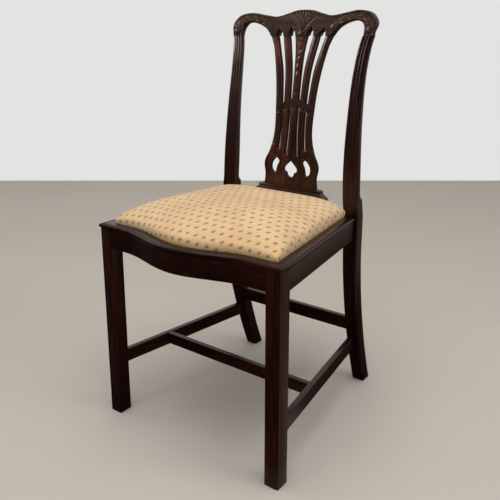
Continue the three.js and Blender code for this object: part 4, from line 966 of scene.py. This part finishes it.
def crest_relief(flat, away, top_line):
    x, z = flat.T
    side = np.abs(x)
    # Bead along the top edge, darkened along its width, with painted shade in its quirk
    to_top = distance(columns(side, z), np.vstack([top_line, top_line[::-1]]))
    quirk = peak(to_top - 5.2, 0.8) * (1 - bump(side, -50, 40, 8.0))
    cut = 0.8 * quirk
    held = 0.9 * quirk + 0.35 * bump(to_top, -5, 4.6, 1.0)
    # Painted highlight on the bead towards the ends of the ears
    wear_and_highlight = 1.1 * peak(to_top - 3.4, 1.0) * bump(side, 186, 210, 4) * bump(z, 890, 916, 8)
    # Fan of nine curved rays, with a line round it and a cup at its foot
    rise = np.clip((z - 887) / 50, 0, 1.1)
    ray = x / (3.6 + 38.0 * rise ** 1.12)
    ridge = unit((np.cos(2 * np.pi * 4 * ray) - 0.1) / 0.9)
    in_fan = bump(np.abs(ray), -1, 1.12, 0.08) * bump(z, 887, 1000, 3) * unit((to_top - 3.0) / 2.5)
    cut += in_fan * ((0.4 + 0.8 * unit(rise * 2)) * (1 - ridge) - 0.4 * ridge)
    # Painted shade in the hollows between the rays and along the line round them, painted highlights on their
    # ridges
    held += in_fan * 0.45 * unit(1 - ridge * 1.6)
    wear_and_highlight += in_fan * 1.2 * ridge ** 1.5 * (0.85 + 0.15 * np.sin(9 * ray + 14 * rise))
    edge_line = 0.3 * peak(np.abs(ray) - 1.22, 0.06) * bump(z, 892, 1000, 6)
    cup = unit(1 - (x / 7.5) ** 2 - ((z - 884) / 6.0) ** 2)
    cut += edge_line - 1.2 * np.sqrt(cup)
    held += edge_line
    wear_and_highlight += 0.35 * cup
    # Long leaf along each ear, its veins nearly parallel to the spine
    spine = smooth([[84, 897], [100, 907], [120, 915], [144, 919], [164, 916.5], [178, 908], [184, 896]], 10)
    off, along = nearest_on(spine, side, z)
    wide = 3.0 + 7.5 * np.sin(np.pi * unit(along / lengths(spine)[-1] * 0.96 + 0.03)) ** 0.7
    lobe = 0.5 + 0.5 * np.cos(2 * np.pi * (along - 1.6 * off) / 23.0)
    reach = wide * (0.86 + 0.16 * lobe)
    in_leaf = unit((reach - off) / 1.6 + 0.5) * (side > 82) * unit((away - 2.0) / 2.0)
    vein = np.cos(2 * np.pi * (off - 0.10 * along) / 4.4 + 1.2 * np.sin(2 * np.pi * along / 31.0))
    body = 0.8 * unit(1 - (off / np.maximum(reach, 0.1)) ** 2) * (0.75 + 0.25 * lobe) + 0.22 * vein
    around = peak(off - reach - 1.5, 1.2) * (side > 82) * unit(away / 2.5)
    cut += 0.15 * around - in_leaf * (body - 0.3 * peak(off, 0.9))
    # Painted shade round the leaf and in its veins; the leaf itself is lighter as rubbed wear
    held += 0.4 * around + in_leaf * (0.75 * unit(-vein) + 0.2 * (1 - lobe))
    wear_and_highlight += in_leaf * (0.35 + 0.6 * unit(vein) ** 1.5 + 0.15 * lobe) * np.where(lobe > 0.35, 1, 0.7)
    # Painted highlights: small light spots on the leaf
    for cx, cz in ((109, 909), (130, 913.5), (139, 916), (152, 911)):
        spot = peak(side - cx, 2.0) * peak(z - cz, 1.6)
        cut -= 0.5 * spot
        wear_and_highlight += 0.7 * spot
    # The post's moulding runs up to a round boss that ends each ear
    share = post_across(side, CREST_LOW)
    lower = bump(z, 800, 886, 2.0) * (np.abs(share) < 1.05)
    cut = cut * (1 - lower) + lower * post_face(share)
    # Painted shade in the moulding's quirks
    held = held * (1 - lower) + lower * unit(post_face(share) - 0.6)
    wear_and_highlight *= 1 - lower
    r = np.hypot(side - 184.5, z - 892)
    turn = peak(r - 4.4, 0.8)
    cut = np.where(r < 8.2, -2.2 * np.sqrt(unit(1 - (r / 8.2) ** 2)) + 0.7 * turn, cut)
    # Painted shade in a ring round the boss
    held = np.where(r < 10.4, 0.4 * turn + peak(r - 8.8, 1.2), held)
    wear_and_highlight = np.where(r < 8.2, 0.3, wear_and_highlight)
    # Rounded foot of each opening's moulding
    cut -= 0.4 * bump(z, CREST_LOW - 5, 884.0, 3.0) * (side > 16) * (side < 92)
    return limited(cut, held, wear_and_highlight, away)


def crest_back(flat, free):
    """The crest's back: rounded at its edges, square in the arches, and like the posts at its ends."""
    side, z = np.abs(flat[:, 0]), flat[:, 1]
    cut = rounding(free, np.where((side < 76) & (z < 905), 0.8, 4.0))
    share = np.clip(post_across(side, CREST_LOW), -1, 1)
    post = 0.72 * (CREST_THICK - 1.2) * (1 - np.sqrt(1 - share ** 2))
    end = unit((906 - z) / 26) * (side > 150)
    return cut + (np.maximum(post, cut) - cut) * softened(end)


def back_boards():
    loops = splat_loops()
    vase_holes = [loop for loop in loops[1:] if loop[:, 1].max() < 590]
    board("splat_carved", loops, lambda x, z: splat_front(z), SPLAT_THICK,
          lambda flat, away: splat_relief(flat, away, vase_holes), lambda flat, free: rounding(free, 0.8),
          1.0, wood_splat, "splat", (SHOE_TOP + JOINT, SHOE_TOP + SPLAT_RISE - JOINT),
          [(-10, 770, 10, 870), (-60, 588, 60, 622)])
    loops, top_line = crest_loops()
    board("crest_carved", loops, crest_front, CREST_THICK,
          lambda flat, away: crest_relief(flat, away, top_line), crest_back,
          2.2, wood_crest, "crest_rail", (CREST_LOW,), [(-46, 884, 46, 945)])


# Drop in seat

PAD_STEPS, PAD_VOXEL, PAD_REACH = 20, 0.0055, 0.010
RAY = 0.03
# How the cover turns down inside the rebate: heights, and how far it stands out there
COVER_SIDE = [(SEAT + 4.0, CUSHION_SWELL - 0.6), (SEAT + 1.5, 1.0), (SEAT, 0.2), (SEAT - 3, 0.0),
              (SEAT_LOW + 2, 0.0), (SEAT_LOW, -0.6), (SEAT_LOW + 0.4, -1.1), (SEAT_LOW + 4, -1.2),
              (RECESS_TOP - 1, -1.2), (RECESS_TOP, -2.2)]


def seat_place(u, v, inset):
    """A place on the seat from shares of -1 to 1 across it and from front to back."""
    far = SEAT_DEPTH - CUSHION_SWELL - (inset - LIP_INSET)
    x = u * (side_face(inset + (far - inset) * (v + 1) / 2) - inset)
    near = front_face(x) + inset
    return x, near + (far - near) * (v + 1) / 2


def crown(u, v, top=CUSHION_TOP):
    front = unit(-v)
    across = (1 - np.abs(u) ** 4.4) ** 0.35
    along = (1 - np.abs(v) ** (4.4 - 1.2 * front)) ** (0.35 + 0.12 * front)
    return SEAT + CUSHION_EDGE + (top - CUSHION_EDGE) * across * along


def spread(count, bend):
    """Shares from -1 to 1 that lie closer together towards both ends."""
    turn = np.pi / 2 * bend
    return np.sin(np.linspace(-1, 1, count + 1) * turn) / math.sin(turn)


def applied(piece):
    """Makes the modifiers of a scratch object part of its mesh."""
    graph = bpy.context.evaluated_depsgraph_get()
    graph.update()
    done = bpy.data.meshes.new_from_object(piece.evaluated_get(graph))
    piece.modifiers.clear()
    piece.data = done


def stuffed_shape():
    """A simulated pad: a closed form a little smaller than the cushion, blown up under cloth pressure."""
    shares = spread(40, 1.0)
    v, u = np.meshgrid(shares, shares, indexing="ij")
    high = crown(u, v, CUSHION_TOP - 5.0) - 2.0
    points, faces = slab(*seat_place(u, v, SEAT_INSET + 1.0), high, SEAT - 2.0)
    mesh = bpy.data.meshes.new("pad_start")
    mesh.from_pydata(in_frame(points).tolist(), [], faces)
    pad = bpy.data.objects.new("pad_start", mesh)
    scene = bpy.context.scene
    scene.collection.objects.link(pad)
    remesh = pad.modifiers.new("remesh", "REMESH")
    remesh.mode, remesh.voxel_size = "VOXEL", PAD_VOXEL
    applied(pad)
    held = pad.vertex_groups.new(name="tacked")
    for vertex in pad.data.vertices:
        if vertex.co.z < (SEAT + 1.5) / 1000:
            held.add([vertex.index], 1.0, "REPLACE")
    before = np.array([v.co for v in pad.data.vertices])
    cloth = pad.modifiers.new("cloth", "CLOTH")
    settings = cloth.settings
    settings.quality, settings.mass = 6, 0.3
    settings.tension_stiffness = settings.compression_stiffness = 18
    settings.shear_stiffness, settings.bending_stiffness = 6, 1.2
    settings.use_pressure, settings.uniform_pressure_force = True, 4.0
    settings.vertex_group_mass = "tacked"
    settings.effector_weights.gravity = 0
    cloth.collision_settings.use_collision = False
    for step in range(1, PAD_STEPS + 1):
        scene.frame_set(step)
    applied(pad)
    scene.frame_set(1)
    move = np.array([v.co for v in pad.data.vertices]) - before
    far = np.linalg.norm(move, axis=1, keepdims=True)
    after = before + move * np.minimum(1, PAD_REACH / np.maximum(far, 1e-9))
    faces = [tuple(p.vertices) for p in pad.data.polygons]
    bpy.data.objects.remove(pad)
    return bvhtree.BVHTree.FromPolygons([tuple(c) for c in after], faces)


def fitted(grid, edge):
    """The cover laid on the simulated pad, with its rim left where it is."""
    tree = stuffed_shape()
    normal = np.cross(np.gradient(grid, axis=1), np.gradient(grid, axis=0))
    normal /= np.linalg.norm(normal, axis=2, keepdims=True)
    shift = np.zeros(edge.shape)
    for i in range(1, edge.shape[0] - 1):
        for j in range(1, edge.shape[1] - 1):
            way = Vector(normal[i, j])
            hit = tree.ray_cast(Vector(in_frame(grid[i, j])) + way * RAY, -way, 2 * RAY)
            if hit[0] is not None:
                shift[i, j] = (RAY - hit[3]) * 1000
    shift = np.clip(shift, -5, 5)
    level = np.median(shift[edge > 0.2])
    for _ in range(3):
        shift[1:-1, 1:-1] = (shift[1:-1, 1:-1] * 4 + shift[:-2, 1:-1] + shift[2:, 1:-1]
                             + shift[1:-1, :-2] + shift[1:-1, 2:]) / 8
    return grid + normal * ((shift - level) * softened(unit(edge / 0.06)))[..., None]


def run_from_middle(grid, axis):
    """Lengths along the rows or columns of a grid of points, counted from its middle line."""
    steps = np.linalg.norm(np.diff(grid, axis=axis), axis=2)
    run = np.insert(np.cumsum(steps, axis=axis), 0, 0, axis=axis)
    return run - np.take(run, [grid.shape[axis] // 2], axis=axis)


def cushion():
    """The covered top, fitted to the simulated pad, with its cover turned down inside the rebate."""
    wide, rows = 120, 112
    v, u = np.meshgrid(spread(rows, 0.92), spread(wide, 0.92), indexing="ij")
    x, y = seat_place(u, v, SEAT_INSET - CUSHION_SWELL)
    grid = np.stack([x, y, crown(u, v)], -1)
    to_side, to_end = 1 - np.abs(u), 1 - np.abs(v)
    edge = np.minimum(to_side, to_end)
    grid = fitted(grid, edge)
    # Fuller back corners, and small pulls in the cloth where it turns down
    grid[..., 2] += (2.6 - 1.1 * u) * np.abs(u) ** 4 * peak(v - 0.72, 0.24) * unit(to_side / 0.08)
    run = np.where(to_end < to_side, x, y)
    pulls = np.sin(run / 9.3 + 0.7 * np.sin(run / 23.0)) + 0.6 * np.sin(run / 5.1 + 1.3)
    grid[..., 2] += 0.45 * np.exp(-edge / 0.05) * pulls * (edge > 0.002)

    points = grid.reshape(-1, 3)
    where = columns(run_from_middle(grid, 1), run_from_middle(grid, 0))
    faces, rim = grid_faces(rows, wide)
    shares = columns(u, v)[rim]
    out = np.where(np.abs(shares) > 0.9999, np.sign(shares), 0)
    above, last, fall = rim, points[rim], 0.0
    for height, stand in COVER_SIDE:
        ring = columns(*seat_place(*shares.T, SEAT_INSET - stand), height)
        fall = fall + np.linalg.norm(ring - last, axis=1)
        now = [*range(len(points), len(points) + len(rim))]
        faces += between(above, now)
        points = np.vstack([points, ring])
        where = np.vstack([where, where[rim] + out * fall[:, None]])
        above, last = now, ring
    faces.append(tuple(above[::-1]))
    piece = add_mesh("seat_pad", (points, faces), fabric, "seat_cushion", "drop_in_seat", "seat_fabric", 70)
    attribute(piece, "cloth", columns(*(where / 1000).T, 0.0), "FLOAT_VECTOR", "vector")


def seat_sheets():
    """Hessian over the straps and black cotton under the frame."""
    shares = np.linspace(-1, 1, 25)
    v, u = np.meshgrid(shares, shares, indexing="ij")
    for name, node, inset, low, thick, material, slot in (
            ("hessian_sheet", "hessian", 33.1, 480.15, 0.7, sacking, "hessian"),
            ("bottom_cotton", "seat_bottom_cloth", 36.2, 456.45, 0.6, black_cotton, "bottom_cloth")):
        shape = slab(*seat_place(u, v, inset), low + thick, low)
        piece = add_mesh(name, shape, material, node, "drop_in_seat", slot)
        low_corner, high_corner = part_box(node)


def straps():
    """Three straps each way, a little thinner than their solids."""
    skin = 0.1
    for way, axis in (("along", 1), ("across", 0)):
        for index in (1, 2, 3):
            node = f"webbing_{way}_{index}"
            low, high = (np.array(c) * 1000 - [0, DEPTH_SHIFT, 0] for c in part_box(node))
            low, high = low + [0, 0, skin], high - [0, 0, skin]
            rings = []
            for t in np.linspace(0, 1, 40):
                ring = low + (high - low) * [[0, 0, 0], [1, 1, 0], [1, 1, 1], [0, 0, 1]]
                ring[:, axis] = low[axis] + (high[axis] - low[axis]) * t
                rings.append(ring)
            add_mesh(f"strap_{way}_{index}", loft(rings), jute, node, "drop_in_seat", "webbing")


def plain_nodes():
    """Nodes whose shape is right as it is: they only take a material."""
    for name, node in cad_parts.items():
        if node.hide_render:
            continue
        across = name.startswith("corner_block") or name in ("seat_frame_front", "seat_frame_back")
        material = steel if name.startswith("block_screw") else beech_x if across else beech_y
        node.data.materials.clear()
        node.data.materials.append(material)


for side, label in ((-1, "left"), (1, "right")):
    front_leg(side, label)
    rear_leg(side, label)
rails()
lips()
stretchers()
shoe()
back_boards()
cushion()
seat_sheets()
straps()
plain_nodes()


# Stage: a plain pale floor that ends at a white wall behind the chair, in metres

TURN = math.radians(36.499)
WALL, STAGE_HALF, STAGE_FRONT, WALL_HIGH = 2.52, 7, -6, 5
WHITE = colour(227, 227, 225)


def stage_mesh(name, corners, material):
    mesh = bpy.data.meshes.new(name)
    mesh.from_pydata(corners, [], [tuple(range(len(corners)))])
    mesh.materials.append(material)
    piece = bpy.data.objects.new(name, mesh)
    bpy.context.scene.collection.objects.link(piece)


def floor_material():
    """Pale floor. Glossy rays see it dark, with lighter patches beside and beyond the chair: a painted
    reflection, so the polish mirrors the floor darker on most sides.
    """
    n = new_nodes("pale_floor")
    place = n.place()
    x, y = n.axes(place)
    pale = n.mix(n.noise(place, 1.6, 2.0), colour(203, 194, 183), colour(209, 200, 189))
    # Painted reflection: two patches that glossy rays see lighter
    beside = n.range(y * -0.914 + x, 0.17, 0.3) * n.range(y, -0.32, -0.2)
    beyond = n.range(x, 0.45, 0.65) * n.range(y, 0.6, 0.8)
    mirrored_floor = n.mix(n.math("MAXIMUM", beside, beyond), colour(40, 36, 33), colour(168, 154, 140))
    return n.shader({
        "Base Color": n.mix(n.ray("Glossy"), pale, mirrored_floor),
        "Roughness": 0.7,
        "Specular IOR Level": 0.2})


def wall_material():
    """A wall that glows evenly white to the camera and in reflections, so the polish mirrors a glowing wall;
    to other light it is a lit white wall.
    """
    n = new_nodes("white_wall")
    n.shader({"Base Color": WHITE, "Roughness": 0.9, "Specular IOR Level": 0.0})
    lit = Value(n, n.tree.nodes["Principled BSDF"].outputs[0])
    glow = n.put("ShaderNodeEmission", {"Color": WHITE, "Strength": 1.0})
    both = n.put("ShaderNodeMixShader", {0: n.ray("Camera", "Glossy", "Transmission"), 1: lit, 2: glow})
    n.feed(n.tree.nodes["Material Output"], {"Surface": both})
    return n.owner


def away(forward, sideways, up=0.0):
    """A place given by its distance behind the chair and across the view."""
    fx, fy = -math.sin(TURN), math.cos(TURN)
    return (fx * forward + fy * sideways, fy * forward - fx * sideways, up)


near_left, near_right = away(STAGE_FRONT, -STAGE_HALF), away(STAGE_FRONT, STAGE_HALF)
far_left, far_right = away(WALL, -STAGE_HALF), away(WALL, STAGE_HALF)
wall_top = away(WALL, STAGE_HALF, WALL_HIGH), away(WALL, -STAGE_HALF, WALL_HIGH)
stage_mesh("floor", [near_left, near_right, far_right, far_left], floor_material())
stage_mesh("backdrop", [far_left, far_right, *wall_top], wall_material())


# Light: a soft overhead lamp, one from the right, weak ones from the left and the front, and a small
# one at the front left that only shows as streaks on the moulded posts

def lamp(name, place, target, size, power, spread=180):
    data = bpy.data.lights.new(name, "AREA")
    data.shape, data.size, data.size_y = "RECTANGLE", *size
    data.energy, data.spread = power, math.radians(spread)
    piece = bpy.data.objects.new(name, data)
    piece.location = place
    piece.rotation_euler = (Vector(target) - Vector(place)).to_track_quat("-Z", "Y").to_euler()
    bpy.context.scene.collection.objects.link(piece)
    return piece


SEAT_HIGH = (0, 0, 0.5)
lamp("lamp_top", (0.3, -0.6, 3.0), (0, 0, 0.3), size=(2.6, 2.0), power=47)
lamp("lamp_right", (3.2, 0.5, 2.0), SEAT_HIGH, size=(1.6, 1.8), power=27)
lamp("lamp_left", (-3.0, -0.9, 1.7), SEAT_HIGH, size=(1.0, 1.6), power=6)
front_lamp = lamp("lamp_front", (0.5, -3.2, 0.9), SEAT_HIGH, size=(2.4, 1.4), power=17)
front_lamp.visible_glossy = False
streak_lamp = lamp("lamp_window", (-1.73, -1.02, 1.69), (-0.15, 0.26, 0.88), size=(0.5, 0.5), power=0.6,
                   spread=28)
streak_lamp.visible_diffuse = False

# The world looks white, lights the chair evenly and is mirrored darker on one side than on the other
AMBIENT, MIRRORED_DARK, MIRRORED_LIGHT = 0.42, 0.13, 0.55
scene = bpy.context.scene
world = bpy.data.worlds.new("soft_world")
n = Nodes(world)
east, north = n.axes(n.put("ShaderNodeTexCoord", output="Generated"))
mirrored_room = n.range(east + north, -0.9, 0.6, MIRRORED_DARK, MIRRORED_LIGHT)
ambient = n.ray("Glossy") * (mirrored_room - AMBIENT) + AMBIENT
n.feed(world.node_tree.nodes["Background"], {
    "Color": WHITE, "Strength": n.math("MAXIMUM", n.ray("Camera", "Transmission"), ambient)})
scene.world = world
scene.view_settings.view_transform = "Standard"

camera_data = bpy.data.cameras.new("camera")
camera_data.lens, camera_data.sensor_width, camera_data.shift_y = 45.31, 36.0, -0.09
camera = bpy.data.objects.new("camera", camera_data)
camera.location = (0.83353, -1.12732, 0.86930)
camera.rotation_euler = (math.radians(90 - 14.722), 0.0, TURN)
scene.collection.objects.link(camera)
scene.camera = camera
